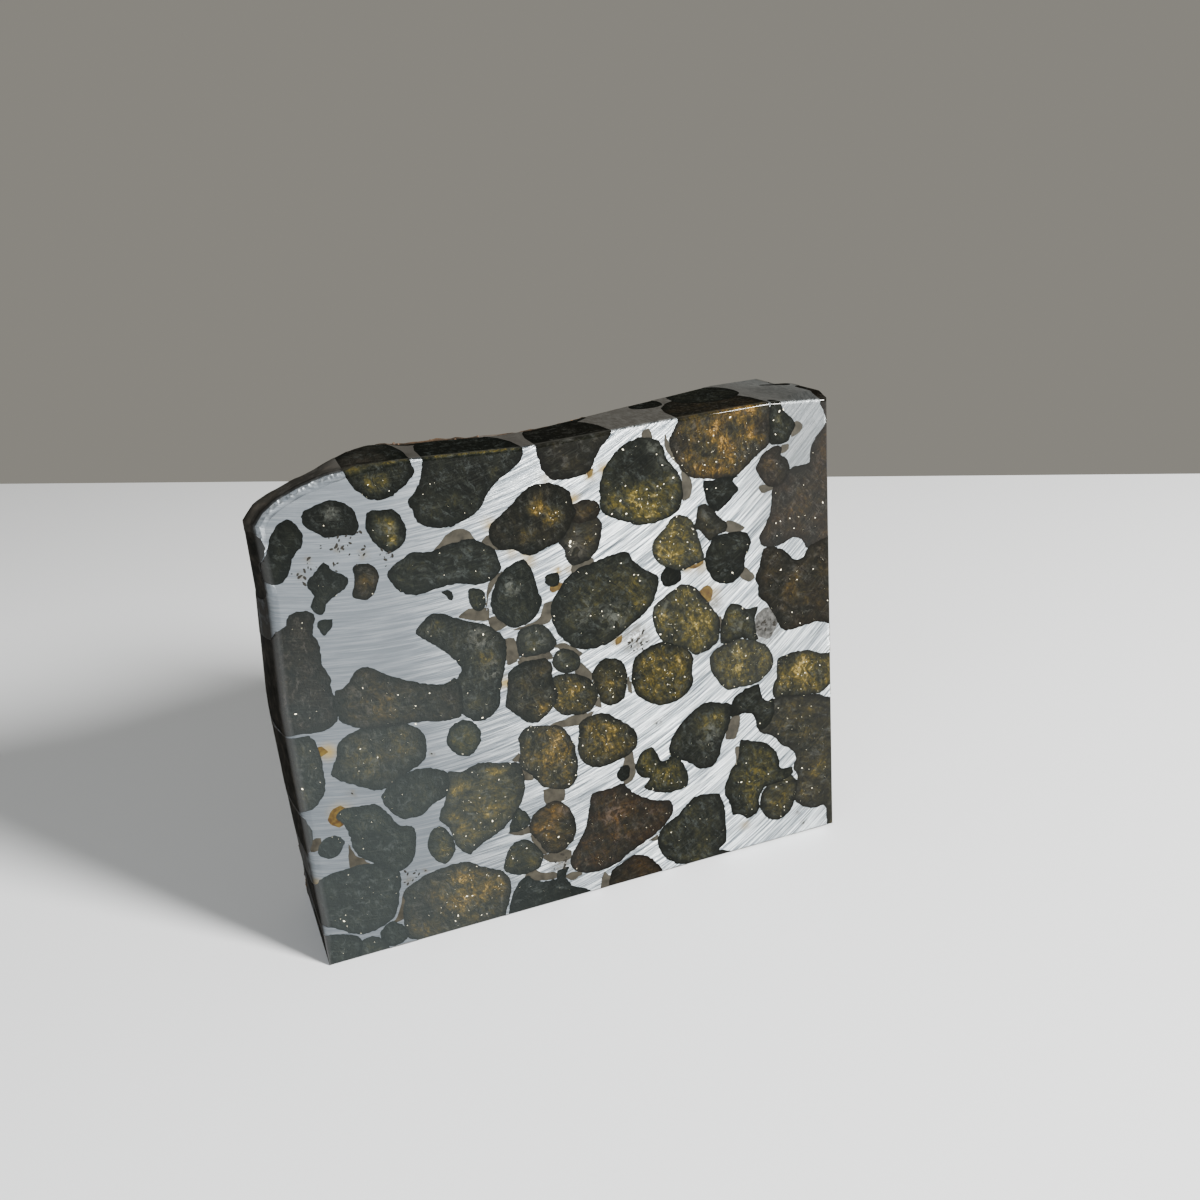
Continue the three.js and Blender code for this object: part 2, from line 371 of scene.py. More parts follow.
# Crystals that the polished face cuts: how clear and lit, how red, outline in x and z.
# Outlines run on past the edge where the crystal does.
crystals = {
    "cornerOval": (0.05, 0.0, [(-22.4, 39.6), (-21.8, 39.1), (-21.4, 38.1), (-21.55, 37.3),
        (-22.2, 36.8), (-22.6, 35.9), (-23.05, 35.1), (-23.65, 34.65), (-24.3, 34.65), (-24.9, 35.1),
        (-24.9, 36.2), (-24.3, 37.2), (-24.0, 38.0), (-23.4, 39.0)]),
    "leftEdgeUpper": (0.05, 0.0, [(-26.5, 38.8), (-25, 38.8), (-24.5, 38.4), (-24.3, 37.9),
        (-24.4, 37.2), (-24.9, 36.2), (-24.8, 33.9), (-25.1, 33.2), (-26.5, 33.4)]),
    "blackDome": (0.03, 0.0, [(-21.3, 39.4), (-21.1, 40.0), (-20.2, 40.3), (-19.0, 40.55),
        (-18.1, 40.2), (-17.4, 39.65), (-17.1, 38.9), (-17.1, 37.9), (-17.45, 37.5), (-18.2, 37.6),
        (-19.75, 37.7), (-20.55, 38.3), (-21.2, 38.9)]),
    "greenOval": (0.15, 0.0, [(-16.25, 39.1), (-15.0, 39.1), (-14.3, 39.0), (-13.8, 38.45),
        (-13.5, 37.65), (-13.5, 36.8), (-13.8, 36.1), (-14.9, 35.55), (-15.45, 35.9), (-16.1, 36.55),
        (-16.45, 37.3), (-16.55, 38.1)]),
    "topLeftBowl": (0.1, 0.0, [(-18.2, 46), (-17.65, 42.5), (-17.1, 41.2), (-16.5, 40.55),
        (-16.0, 40.1), (-15.1, 39.9), (-14.3, 40.0), (-13.55, 40.4), (-12.45, 41.3), (-12.2, 41.8),
        (-12.3, 42.4), (-12.4, 46)]),
    "darkWedge": (0.1, 0.0, [(-20.2, 35.8), (-19.55, 35.0), (-18.45, 34.0), (-18.5, 33.65),
        (-19.1, 33.2), (-20.3, 32.45), (-20.75, 31.65), (-21.05, 31.5), (-21.7, 32.3), (-21.55, 32.75),
        (-21.3, 33.2), (-21.65, 33.9), (-21.65, 34.4), (-20.8, 35.2)]),
    "brownBlock": (0.25, 0.5, [(-18.0, 35.0), (-17.2, 35.1), (-16.55, 34.9), (-16.15, 34.3),
        (-16.05, 33.8), (-16.7, 32.45), (-17.2, 32.1), (-18.4, 32.55), (-18.15, 33.3), (-18.0, 34.1)]),
    "smallBead": (0.15, 0.0, [(-21.2, 31.1), (-20.2, 31.0), (-20.3, 30.45), (-21.0, 29.75),
        (-21.4, 30.65)]),
    "leftColumn": (0.05, 0.5, [(-26.5, 30.0), (-25.05, 30.1), (-24.65, 30.75), (-23.9, 31.1),
        (-23.4, 32.0), (-22.75, 32.2), (-22.1, 32.1), (-21.5, 31.7), (-21.75, 30.65), (-21.85, 30.1),
        (-21.55, 29.5), (-21.5, 27.4), (-21.05, 26.1), (-21.1, 25.3), (-20.8, 23.5), (-21.0, 22.5),
        (-21.6, 22.0), (-22.4, 21.75), (-24.3, 21.9), (-26.5, 21.9)]),
    "bigBlackTop": (0.08, 0.0, [(-11.6, 46), (-11.5, 42.2), (-11.75, 41.3), (-12.2, 40.3),
        (-13.0, 39.4), (-12.8, 38.75), (-12.55, 37.9), (-12.1, 37.3), (-10.0, 36.8), (-8.3, 37.3),
        (-7.55, 37.65), (-6.4, 39.1), (-5.75, 39.75), (-4.1, 40.75), (-3.55, 41.2), (-3.25, 41.75),
        (-3.25, 42.55), (-3.2, 46)]),
    "barTwin": (0.1, 0.0, [(-15.4, 33.65), (-15.3, 34.1), (-14.1, 34.9), (-13.2, 35.3), (-11.65, 35.1),
        (-10.3, 35.4), (-8.2, 35.5), (-7.45, 35.1), (-6.3, 34.1), (-6.2, 33.3), (-6.0, 32.65),
        (-6.3, 32.2), (-7.2, 31.65), (-8.1, 31.55), (-10.0, 32.0), (-11.9, 31.8), (-13.5, 31.7),
        (-14.55, 32.2), (-15.1, 33.0)]),
    "splinter": (0.1, 0.0, [(-11.2, 31.6), (-10.55, 31.55), (-10.3, 31.0), (-10.45, 30.65),
        (-10.9, 31.05)]),
    "centreOval": (0.12, 0.0, [(-5.6, 32.55), (-4.1, 33.0), (-3.7, 32.55), (-3.4, 31.75),
        (-3.0, 29.85), (-2.8, 29.1), (-3.2, 28.2), (-4.2, 27.4), (-5.4, 27.2), (-6.4, 27.8),
        (-7.2, 28.9), (-7.3, 29.75), (-6.65, 31.45), (-6.2, 32.1)]),
    "oliveBean": (0.35, 0.0, [(-9.0, 31.35), (-8.1, 31.3), (-7.65, 30.75), (-7.65, 30.0), (-8.1, 29.3),
        (-8.65, 29.45), (-9.1, 30.65)]),
    "eyeCrystal": (0.1, 0.3, [(-6.65, 36.3), (-5.3, 37.3), (-3.75, 38.55), (-3.1, 39.0), (-2.1, 39.1),
        (-1.1, 39.0), (0.35, 38.1), (0.65, 36.9), (0.8, 36.2), (0.3, 35.3), (-0.7, 34.0),
        (-1.95, 33.65), (-3.5, 33.2), (-4.2, 33.55), (-5.0, 34.0), (-5.9, 34.1), (-6.4, 34.5),
        (-6.75, 35.35)]),
    "topMid": (0.08, 0.3, [(-2.2, 46), (-2.1, 41.75), (-1.95, 41.0), (-1.7, 40.1), (-1.0, 39.25),
        (0.0, 39.1), (1.2, 39.15), (2.3, 39.4), (2.8, 40.2), (3.5, 41.3), (4.4, 42.2), (4.9, 43.5),
        (4.5, 46)]),
    "smallHook": (0.1, 0.0, [(-2.3, 31.2), (-1.55, 31.4), (-1.1, 31.1), (-1.3, 30.2), (-2.0, 30.2),
        (-2.45, 30.65)]),
    "smallReddish": (0.25, 0.6, [(0.3, 36.7), (1.2, 37.1), (2.1, 37.05), (2.8, 36.7), (3.0, 36.0),
        (2.6, 35.4), (1.6, 35.2), (0.5, 35.4)]),
    "beadHolder": (0.18, 0.3, [(-0.9, 33.9), (-0.5, 33.1), (-0.4, 32.4), (0.1, 31.7), (1.3, 31.8),
        (2.1, 32.2), (2.7, 33.1), (2.9, 33.9), (3.0, 35.0), (2.5, 35.6), (1.6, 35.7), (0.5, 35.8),
        (-0.1, 35.2)]),
    "roundGreen": (0.3, 0.0, [(3.0, 37.0), (3.05, 37.8), (3.5, 39.3), (4.5, 40.5), (5.7, 41.3),
        (7.2, 41.6), (8.5, 41.2), (9.0, 40.6), (9.3, 39.6), (10.4, 37.8), (10.6, 37.0), (10.4, 35.2),
        (10.0, 34.7), (8.3, 34.1), (6.3, 34.1), (5.0, 34.7), (3.9, 35.2), (3.3, 35.6), (3.0, 36.2)]),
    "amberCorner": (0.5, 0.5, [(11.3, 46), (10.9, 43.8), (10.4, 42.3), (9.6, 40.8), (9.9, 39.6),
        (10.5, 38.5), (11.2, 37.6), (12.0, 37.3), (14.8, 36.9), (16.0, 37.0), (16.8, 37.6),
        (17.8, 38.4), (18.7, 38.9), (19.2, 39.6), (19.2, 43), (19.2, 46)]),
    "darkKnot": (0.15, 0.0, [(19.2, 39.2), (20.95, 39.2), (21.2, 39.7), (21.7, 40.5), (21.5, 41.0),
        (20.4, 42.3), (20.3, 42.8), (19.5, 43), (19.2, 42), (19.15, 40.5)]),
    "knob": (0.14, 0.6, [(17.65, 37.2), (17.9, 37.8), (18.5, 38.5), (19.2, 38.9), (19.9, 39.0),
        (20.3, 38.7), (20.2, 38.1), (20.7, 37.7), (21.0, 37.1), (21.0, 36.4), (20.5, 35.7),
        (19.6, 35.3), (18.7, 35.6), (18.2, 36.2)]),
    "rightUpper": (0.13, 0.7, [(19.3, 35.3), (20.5, 35.8), (21.0, 36.7), (22.0, 36.9), (23.0, 37.0),
        (23.1, 37.9), (23.4, 38.8), (24.2, 39.6), (24.7, 40.3), (24.6, 41.2), (24.2, 42.0),
        (24.15, 42.7), (24.3, 44), (26.5, 44), (26.5, 30), (24, 29.3), (22.5, 29.2), (22.2, 29.8),
        (21.4, 30.35), (19.8, 29.9), (18.9, 29.8), (18.1, 30.1), (17.75, 30.9), (18.3, 31.8),
        (18.9, 33.0), (19.1, 34.2)]),
    "rightLower": (0.13, 0.5, [(17.7, 28.3), (18.2, 29.9), (19.0, 29.9), (19.8, 29.6), (20.6, 29.0),
        (21.2, 28.4), (21.6, 28.2), (22.2, 28.4), (22.5, 29.0), (24, 29.6), (26.5, 30), (26.5, 21.3),
        (24.9, 21.3), (23.6, 21.8), (22.2, 21.7), (20.1, 21.6), (19.6, 22.1), (18.9, 23.7),
        (18.0, 24.95), (17.5, 25.5), (17.5, 26.5), (17.2, 27.2)]),
    "hollowCorner": (0.05, 0.0, [(12.6, 37.0), (12.7, 35.5), (12.9, 34.9), (13.8, 34.0), (14.3, 34.3),
        (15.5, 35.2), (15.95, 35.7), (15.4, 36.6), (16.0, 36.9), (14.5, 37.0), (13.3, 36.9)]),
    "sliver": (0.2, 0.2, [(12.1, 34.9), (12.7, 34.9), (13.7, 33.9), (14.3, 33.2), (14.7, 32.7),
        (14.5, 32.1), (13.5, 31.9), (13.0, 31.5), (12.1, 32.5), (11.5, 33.0), (11.7, 33.8)]),
    "slateOval": (0.05, 0.0, [(12.9, 31.2), (13.3, 31.8), (14.8, 31.95), (16.4, 31.7), (17.0, 30.7),
        (16.4, 29.5), (16.3, 28.8), (15.9, 27.9), (15.1, 27.3), (14.5, 27.2), (13.2, 27.8),
        (12.6, 28.8), (12.35, 30.0)]),
    "amberRound": (0.7, 0.0, [(7.5, 32.2), (8.3, 33.1), (8.9, 33.6), (9.3, 34.1), (9.8, 34.4),
        (11.0, 34.05), (11.7, 32.8), (12.1, 31.2), (12.3, 29.9), (11.5, 29.7), (10.1, 29.3),
        (8.8, 29.8), (7.9, 30.5), (7.45, 31.6)]),
    "pupil": (0.02, 0.0, [(8.1, 28.6), (8.4, 28.15), (9.0, 28.05), (9.95, 28.4), (10.0, 29.3),
        (9.3, 29.6), (8.6, 29.9), (8.0, 29.1)]),
    "bigCentreBlack": (0.15, 0.0, [(-1.9, 29.0), (-1.2, 29.9), (-0.4, 30.8), (0.4, 31.2), (2.0, 31.6),
        (3.5, 31.95), (5.1, 32.0), (5.6, 31.2), (6.4, 30.3), (7.9, 29.1), (7.8, 28.3), (7.1, 26.8),
        (6.1, 25.9), (4.7, 25.1), (3.2, 24.2), (2.4, 23.97), (0.6, 23.95), (-0.3, 24.3), (-1.1, 25.0),
        (-1.8, 26.1), (-2.2, 27.4)]),
    "oliveRound": (0.48, 0.0, [(7.1, 26.3), (7.9, 27.0), (9.2, 27.8), (9.8, 28.05), (10.5, 28.0),
        (11.2, 27.65), (12.1, 26.5), (13.0, 25.1), (13.4, 24.5), (13.5, 22.8), (13.2, 21.9),
        (12.6, 21.5), (11.7, 21.2), (10.9, 21.2), (10.2, 21.9), (8.0, 22.9), (7.3, 24.3)]),
    "gapCrystal": (0.3, 0.0, [(14.1, 24.6), (14.7, 25.3), (15.4, 25.2), (16.4, 24.5), (17.4, 24.6),
        (17.1, 23.4), (17.2, 21.9), (17.4, 21.3), (16.5, 21.5), (15.5, 21.8), (14.5, 21.6),
        (13.6, 21.7), (13.6, 23.3)]),
    "loaf": (0.5, 0.0, [(12.3, 20.0), (12.6, 21.0), (14.0, 21.7), (15.0, 21.85), (16.6, 21.5),
        (18.2, 20.5), (18.75, 19.4), (18.7, 18.2), (17.7, 17.4), (17.3, 17.1), (15.3, 17.0),
        (13.9, 17.1), (13.0, 18.2), (12.4, 19.3)]),
    "drumStone": (0.45, 0.1, [(4.7, 20.9), (5.2, 22.2), (6.4, 22.85), (7.9, 23.1), (9.4, 22.4),
        (10.2, 21.9), (10.7, 21.2), (10.6, 19.7), (10.6, 18.5), (9.8, 17.5), (8.7, 17.1), (7.1, 17.1),
        (5.8, 17.9), (4.9, 18.9), (4.65, 20.2)]),
    "twinOval": (0.42, 0.2, [(1.0, 21.5), (1.8, 22.5), (2.5, 22.75), (3.7, 22.3), (4.3, 21.2),
        (4.2, 19.7), (3.8, 18.6), (2.6, 18.15), (1.7, 18.7), (1.4, 20.0)]),
    "clusterLeft": (0.18, 0.3, [(-6.4, 23.3), (-5.2, 24.0), (-4.2, 24.0), (-3.0, 23.9), (-2.6, 23.5),
        (-2.5, 21.5), (-2.2, 20.5), (-2.6, 19.5), (-4.3, 18.2), (-5.0, 18.3), (-6.2, 19.4),
        (-7.0, 20.4), (-6.7, 21.7)]),
    "clusterTop": (0.3, 0.0, [(-2.5, 23.4), (-2.2, 24.1), (-1.6, 24.5), (-0.9, 24.3), (0.1, 23.3),
        (0.1, 22.7), (-0.3, 22.2), (-1.8, 22.3)]),
    "clusterAmber": (0.4, 0.2, [(-2.7, 22.0), (-1.8, 22.2), (0.0, 21.7), (1.2, 20.6), (1.4, 19.2),
        (0.6, 18.1), (-1.0, 18.1), (-1.9, 18.3), (-2.6, 19.0), (-2.9, 21.0)]),
    "mossy": (0.2, 0.0, [(-5.4, 26.3), (-5.1, 26.9), (-4.2, 27.1), (-3.2, 27.1), (-2.3, 26.2),
        (-1.9, 25.0), (-2.4, 24.5), (-4.2, 24.4), (-5.2, 24.5)]),
    "barrel": (0.5, 0.3, [(-6.15, 17.3), (-5.0, 18.1), (-4.3, 17.9), (-2.3, 17.4), (-1.7, 16.6),
        (-1.2, 15.4), (-1.0, 13.2), (-1.3, 11.8), (-2.1, 11.2), (-3.2, 11.4), (-4.3, 11.9),
        (-5.2, 13.1), (-6.3, 14.6), (-6.1, 15.9)]),
    "broadStone": (0.42, 0.2, [(-0.5, 17.2), (0.7, 17.7), (2.0, 17.6), (3.2, 16.7), (4.7, 15.2),
        (4.8, 13.9), (4.1, 13.1), (2.8, 12.7), (1.2, 12.45), (0.0, 12.9), (-0.7, 13.8), (-0.9, 14.6),
        (-0.7, 16.2)]),
    "tiny": (0.05, 0.0, [(2.6, 11.2), (3.0, 12.0), (3.85, 11.9), (3.8, 10.9), (3.0, 10.45)]),
    "heart": (0.4, 0.0, [(4.4, 11.4), (5.0, 12.8), (6.1, 13.25), (6.7, 12.4), (7.0, 11.6),
        (7.3, 11.45), (7.9, 11.8), (8.9, 11.2), (9.6, 9.4), (9.4, 8.4), (8.1, 8.15), (6.7, 8.4),
        (5.1, 9.4), (5.7, 10.1), (4.9, 10.5)]),
    "whale": (0.12, 0.0, [(7.8, 12.1), (8.3, 13.8), (9.2, 14.8), (10.4, 15.8), (11.9, 16.3),
        (13.4, 15.9), (14.3, 15.6), (14.2, 14.1), (13.2, 11.8), (12.9, 10.7), (12.2, 9.75),
        (11.1, 9.65), (9.7, 10.7)]),
    "connector": (0.1, 0.0, [(14.3, 14.3), (14.3, 15.6), (14.9, 16.3), (16.5, 16.9), (17.2, 16.9),
        (17.6, 15.4), (18.1, 15.0), (18.6, 15.2), (18.8, 14.3), (18.5, 13.0), (17.6, 12.2),
        (17.0, 12.4), (16.5, 13.9), (15.9, 14.25)]),
    "rightAmber": (0.5, 0.1, [(19.1, 17.2), (19.2, 18.9), (20.5, 19.3), (22.6, 19.15), (23.8, 18.6),
        (26.5, 18.3), (26.5, 15.2), (24.9, 15.2), (23.9, 14.6), (22.5, 14.6), (19.8, 15.0),
        (18.8, 15.1), (18.65, 16.3)]),
    "rightColumn": (0.2, 0.2, [(26.5, 13.2), (26.5, -1.5), (24.3, -1.5), (24.15, 0.5), (23.95, 2.4),
        (22.9, 2.4), (21.6, 2.9), (20.7, 3.75), (20.6, 4.5), (21.0, 6.5), (20.6, 7.5), (20.9, 8.4),
        (20.2, 9.6), (19.3, 10.2), (18.7, 11.1), (17.0, 12.2), (17.1, 13.6), (17.8, 14.5),
        (18.8, 15.1), (20.5, 15.0), (23.6, 14.4), (24.4, 14.0)]),
    "egg": (0.24, 0.0, [(13.2, 6.8), (14.0, 8.9), (14.8, 9.9), (15.1, 11.7), (16.3, 11.35),
        (17.7, 10.75), (18.9, 9.4), (19.3, 7.7), (20.5, 7.5), (20.5, 6.8), (19.8, 6.4), (17.4, 6.0),
        (16.9, 5.2), (16.8, 3.9), (15.6, 3.2), (14.9, 3.8), (13.95, 4.1), (13.7, 5.3)]),
    "bigKnob": (0.26, 0.1, [(16.9, 4.0), (17.9, 2.5), (19.1, 2.25), (20.2, 2.9), (20.9, 4.9),
        (20.9, 6.0), (20.2, 6.8), (18.9, 6.9), (17.8, 6.3), (17.0, 5.3)]),
    "bigRound": (0.15, 0.0, [(6.1, 3.4), (6.5, 4.6), (8.4, 5.7), (10.1, 7.05), (11.4, 7.05),
        (12.7, 6.6), (13.1, 5.4), (13.2, 3.0), (13.1, 1.4), (12.4, 0.8), (13.6, 0.2), (14, -1.5),
        (9, -1.5), (9.0, 0.05), (7.7, 0.6), (6.6, 1.8)]),
    "footDome": (0.16, 0.8, [(0.85, -1.5), (0.9, 0.1), (1.4, 1.7), (2.6, 2.3), (3.9, 2.7), (5.0, 2.2),
        (6.1, 0.9), (6.5, 0.0), (6.6, -1.5)]),
    "bigBrown": (0.17, 0.8, [(0.0, 10.0), (2.2, 10.2), (3.0, 10.35), (4.1, 9.1), (6.1, 7.8),
        (7.7, 7.3), (7.9, 6.1), (6.6, 4.7), (4.9, 3.75), (2.9, 2.9), (2.2, 2.4), (-0.8, 2.1),
        (-2.2, 2.8), (-2.6, 3.9), (-1.7, 5.4), (-0.9, 6.7), (-0.3, 8.8)]),
    "brownEgg": (0.34, 0.6, [(-5.7, 9.3), (-4.7, 10.0), (-3.5, 10.35), (-2.4, 9.6), (-1.8, 8.3),
        (-1.7, 6.7), (-2.5, 5.5), (-3.6, 5.05), (-4.8, 5.5), (-5.4, 6.8), (-6.1, 8.0)]),
    "pebble": (0.33, 0.1, [(-8.8, 4.9), (-8.4, 6.2), (-7.6, 7.2), (-6.5, 7.3), (-5.6, 6.4),
        (-5.0, 5.2), (-5.5, 4.1), (-6.9, 3.8), (-8.2, 4.2)]),
    "pip": (0.25, 0.0, [(-7.9, 8.4), (-7.5, 9.6), (-6.8, 10.5), (-6.0, 9.6), (-5.8, 9.1), (-6.3, 8.35),
        (-6.9, 8.2)]),
    "bottomDark": (0.03, 0.0, [(-9.0, -1.5), (-8.8, 0.2), (-8.4, 1.7), (-7.5, 3.2), (-6.7, 3.6),
        (-6.0, 2.9), (-4.6, 2.5), (-4.0, 2.5), (-3.9, 3.2), (-2.7, 3.4), (-3.1, 2.5), (-2.6, 1.4),
        (-1.1, 0.5), (-0.8, 0.0), (-0.7, -1.5)]),
    "bottomAmber": (0.2, 0.3, [(-17.8, 5.3), (-16.3, 6.2), (-15.0, 6.55), (-12.0, 6.6), (-10.6, 5.7),
        (-9.0, 4.8), (-8.3, 3.7), (-8.5, 1.8), (-9.0, 0.6), (-9.4, -1.5), (-17, -1.5), (-17.2, 0.1),
        (-18.0, 0.7), (-18.2, 2.5), (-17.9, 4.5)]),
    "footBall": (0.05, 0.0, [(-20.4, 1.8), (-19.7, 2.6), (-19.2, 2.8), (-18.0, 1.6), (-17.9, 0.9),
        (-18.5, 0.4), (-19.7, 0.4)]),
    "bottomLeftA": (0.05, 0.0, [(-26.5, 3.2), (-24.9, 3.1), (-23.7, 2.9), (-22.1, 2.1), (-22.0, 1.1),
        (-22.2, 0.4), (-22.2, -1.5), (-26.5, -1.5)]),
    "bottomLeftB": (0.15, 0.0, [(-22.6, -1.5), (-22.6, 0.3), (-22.0, 1.7), (-21.3, 1.9), (-20.5, 1.6),
        (-19.9, 0.7), (-19.6, -0.2), (-19.6, -1.5)]),
    "slab": (0.05, 0.0, [(-26.5, 7.6), (-25, 8.1), (-24.3, 8.7), (-22.8, 8.9), (-21.0, 8.95),
        (-18.5, 8.2), (-17.9, 7.3), (-18.3, 4.8), (-18.8, 3.3), (-20.8, 2.3), (-22.0, 2.3),
        (-24.2, 3.7), (-26.5, 4.6)]),
    "bootStone": (0.08, 0.0, [(-21.8, 12.8), (-22.4, 13.9), (-22.0, 14.4), (-20.0, 14.35),
        (-19.0, 14.2), (-17.9, 12.7), (-17.4, 11.8), (-16.2, 11.3), (-16.4, 8.7), (-16.8, 7.9),
        (-17.8, 7.4), (-20.2, 9.0), (-21.2, 10.0)]),
    "smallOval": (0.03, 0.0, [(-24.3, 10.9), (-23.9, 12.0), (-22.7, 12.3), (-22.1, 11.4),
        (-22.8, 10.4), (-23.4, 10.2)]),
    "leftEdgeLow": (0.05, 0.0, [(-26.5, 14.8), (-25, 14.4), (-24.5, 13.0), (-24.8, 11.6),
        (-25.1, 11.0), (-26.5, 10.6)]),
    "leftSlab": (0.15, 0.2, [(-26.5, 21.6), (-24.5, 21.7), (-23.4, 21.6), (-22.9, 20.2), (-22.8, 18.4),
        (-22.95, 16.5), (-23.7, 15.4), (-24.7, 15.0), (-26.5, 14.8)]),
    "ridge": (0.13, 0.4, [(-20.9, 24.9), (-20.2, 25.1), (-18.9, 26.4), (-18.2, 26.55), (-16.6, 25.5),
        (-14.4, 24.3), (-12.0, 23.6), (-11.0, 23.9), (-10.6, 23.0), (-10.9, 20.4), (-15.0, 20.75),
        (-19.3, 21.3), (-20.9, 22.4)]),
    "tongue": (0.13, 0.1, [(-13.75, 28.6), (-12.8, 29.6), (-12.1, 29.85), (-9.9, 28.9), (-7.6, 27.8),
        (-6.45, 26.5), (-6.35, 25.4), (-7.15, 22.2), (-7.7, 20.2), (-9.3, 19.5), (-10.8, 20.6),
        (-11.2, 23.4), (-10.4, 24.5), (-10.7, 25.2), (-11.8, 26.6)]),
    "cushion": (0.17, 0.2, [(-22.2, 17.7), (-21.6, 19.4), (-21.2, 20.5), (-19.2, 21.3), (-16.0, 21.0),
        (-14.6, 20.1), (-14.1, 19.1), (-14.5, 17.2), (-16.5, 16.2), (-18.4, 15.4), (-20.5, 16.4)]),
    "pad": (0.1, 0.0, [(-18.5, 14.8), (-16.9, 16.1), (-15.6, 16.5), (-14.5, 16.45), (-12.7, 15.5),
        (-12.6, 14.5), (-13.0, 13.4), (-14.5, 12.8), (-15.2, 12.2), (-17.1, 12.3), (-18.2, 13.8)]),
    "speckled": (0.36, 0.1, [(-12.6, 15.6), (-11.6, 15.3), (-9.9, 15.7), (-7.8, 15.2), (-6.4, 14.8),
        (-6.0, 13.0), (-6.3, 11.4), (-7.4, 9.8), (-8.8, 8.7), (-10.9, 7.7), (-11.6, 7.2), (-12.7, 8.3),
        (-13.2, 10.3), (-13.9, 11.3), (-13.1, 13.2)]),
    "amberSmall": (0.5, 0.1, [(-15.2, 9.0), (-14.8, 10.3), (-14.0, 10.7), (-13.2, 9.9), (-12.9, 7.9),
        (-13.9, 6.95), (-14.8, 7.7)]),
    "smallRound": (0.3, 0.0, [(-12.4, 18.4), (-11.9, 19.6), (-10.8, 20.0), (-9.9, 19.6), (-9.35, 18.4),
        (-9.7, 17.3), (-10.6, 16.55), (-11.8, 17.1)]),
}
crystalForm = {
    "outlineStep": 0.22,
    "edgeNoise": 0.08,
    "noisePitch": 2.3,
    "edgeJag": 0.08,
    "jagPitch": 7.0,
    "sharpestTurn": 0.1,
    "depthShare": 0.486,
    "leastDepth": 0.9,
    "mostDepth": 4.5,
    "edgeDepth": 7.5,
    "edgeLimits": (26, -1, 44),
    "proud": 0.8,
    "narrowing": [(0.0, 1.0), (0.4, 0.97), (0.66, 0.86), (0.88, 0.62), (1.0, 0.32)],
    "inset": 0.02,
    "insetStep": 0.004,
    "gap": 0.3,
    "pointing": 9,
    "neighbourReach": 14,
    "leastHalfGap": 0.6,
    "edgePitch": 6.3,
    "edgeMargin": 0.15,
    "edgeReach": 4.5,
    "edgeLayer": 8.0,
    "layerSpread": 2.4,
    "backStart": 4,
    "backPull": 0.05,
    "backDrop": 1.3,
    "backMargins": (1, 0.5),
    "largest": 3.6,
    "clearance": 0.05,
    "filmReach": 1.2,
    "filmStep": 0.25,
    "filmDepth": 0.7,
    "hiddenGlow": (0.04, 0.3),
    "hiddenRed": 0.5,
    "crustGrain": 0.9,
    "crustFractal": (0.8, 2.1, 5),
    "crustRelief": 0.16,
    "sharpAngle": 50,
    "seed": 7,
}


def smoothLoop(points, step, salt):
    # a curve through the outline's points, tighter where it turns sharply
    points = np.array(points, float)
    ahead = np.roll(points, -1, 0) - points
    length = np.hypot(*ahead.T)
    unit = ahead / length[:, None]
    before = np.roll(unit, 1, 0)
    tangent = unit + before
    tangent /= np.hypot(*tangent.T)[:, None] + 1e-6
    ease = np.clip((1 + (unit * before).sum(1)) / 2, crystalForm["sharpestTurn"], 1)
    line = []
    for i in range(len(points)):
        j = (i + 1) % len(points)
        count = max(1, int(round(length[i] / step)))
        t = (np.arange(count) / count)[:, None]
        setOff = (t**3 - 2 * t**2 + t) * tangent[i] * length[i] * ease[i]
        arrive = (t**3 - t**2) * tangent[j] * length[i] * ease[j]
        line.append((2 * t**3 - 3 * t**2 + 1) * points[i] + setOff
                    + (3 * t**2 - 2 * t**3) * points[j] + arrive)
    line = np.concatenate(line)
    for point in line:
        broad, sharp = [noise.noise_vector((point[0] * pitch, point[1] * pitch, salt))
                        for pitch in (crystalForm["noisePitch"], crystalForm["jagPitch"])]
        shift = np.array(broad[:2]) * crystalForm["edgeNoise"]
        point += shift + np.array(sharp[:2]) * crystalForm["edgeJag"]
    return line


def crystalLoft(outline, depth):
    # the crystal behind its outline, narrowing towards the back
    x, z = outline.T
    cross = x * np.roll(z, -1) - z * np.roll(x, -1)
    area = cross.sum() / 2
    if area < 0:
        return crystalLoft(outline[::-1], depth)
    centre = np.array([((side + np.roll(side, -1)) * cross).sum() for side in (x, z)]) / (6 * area)
    levels = [(-crystalForm["proud"], 1.0)]
    levels += [(share * depth, scale) for share, scale in crystalForm["narrowing"]]
    rings = []
    for y, scale in levels:
        ring = centre + (outline - centre) * scale
        rings.append(np.stack([ring[:, 0], np.full(len(ring), y), ring[:, 1]], 1))
    count = len(outline)
    here = np.arange(count)
    following = (here + 1) % count
    faces = []
    for k in range(len(rings) - 1):
        faces += list(np.stack([here, here + count, following + count, following], 1) + k * count)
    faces += [here, here[::-1] + (len(rings) - 1) * count]
    return np.concatenate(rings), faces


def ballDirections():
    ball = bmesh.new()
    bmesh.ops.create_icosphere(ball, subdivisions=4, radius=1)
    directions = np.array([v.co[:] for v in ball.verts])
    faces = [np.array([v.index for v in face.verts]) for face in ball.faces]
    ball.free()
    return directions, faces


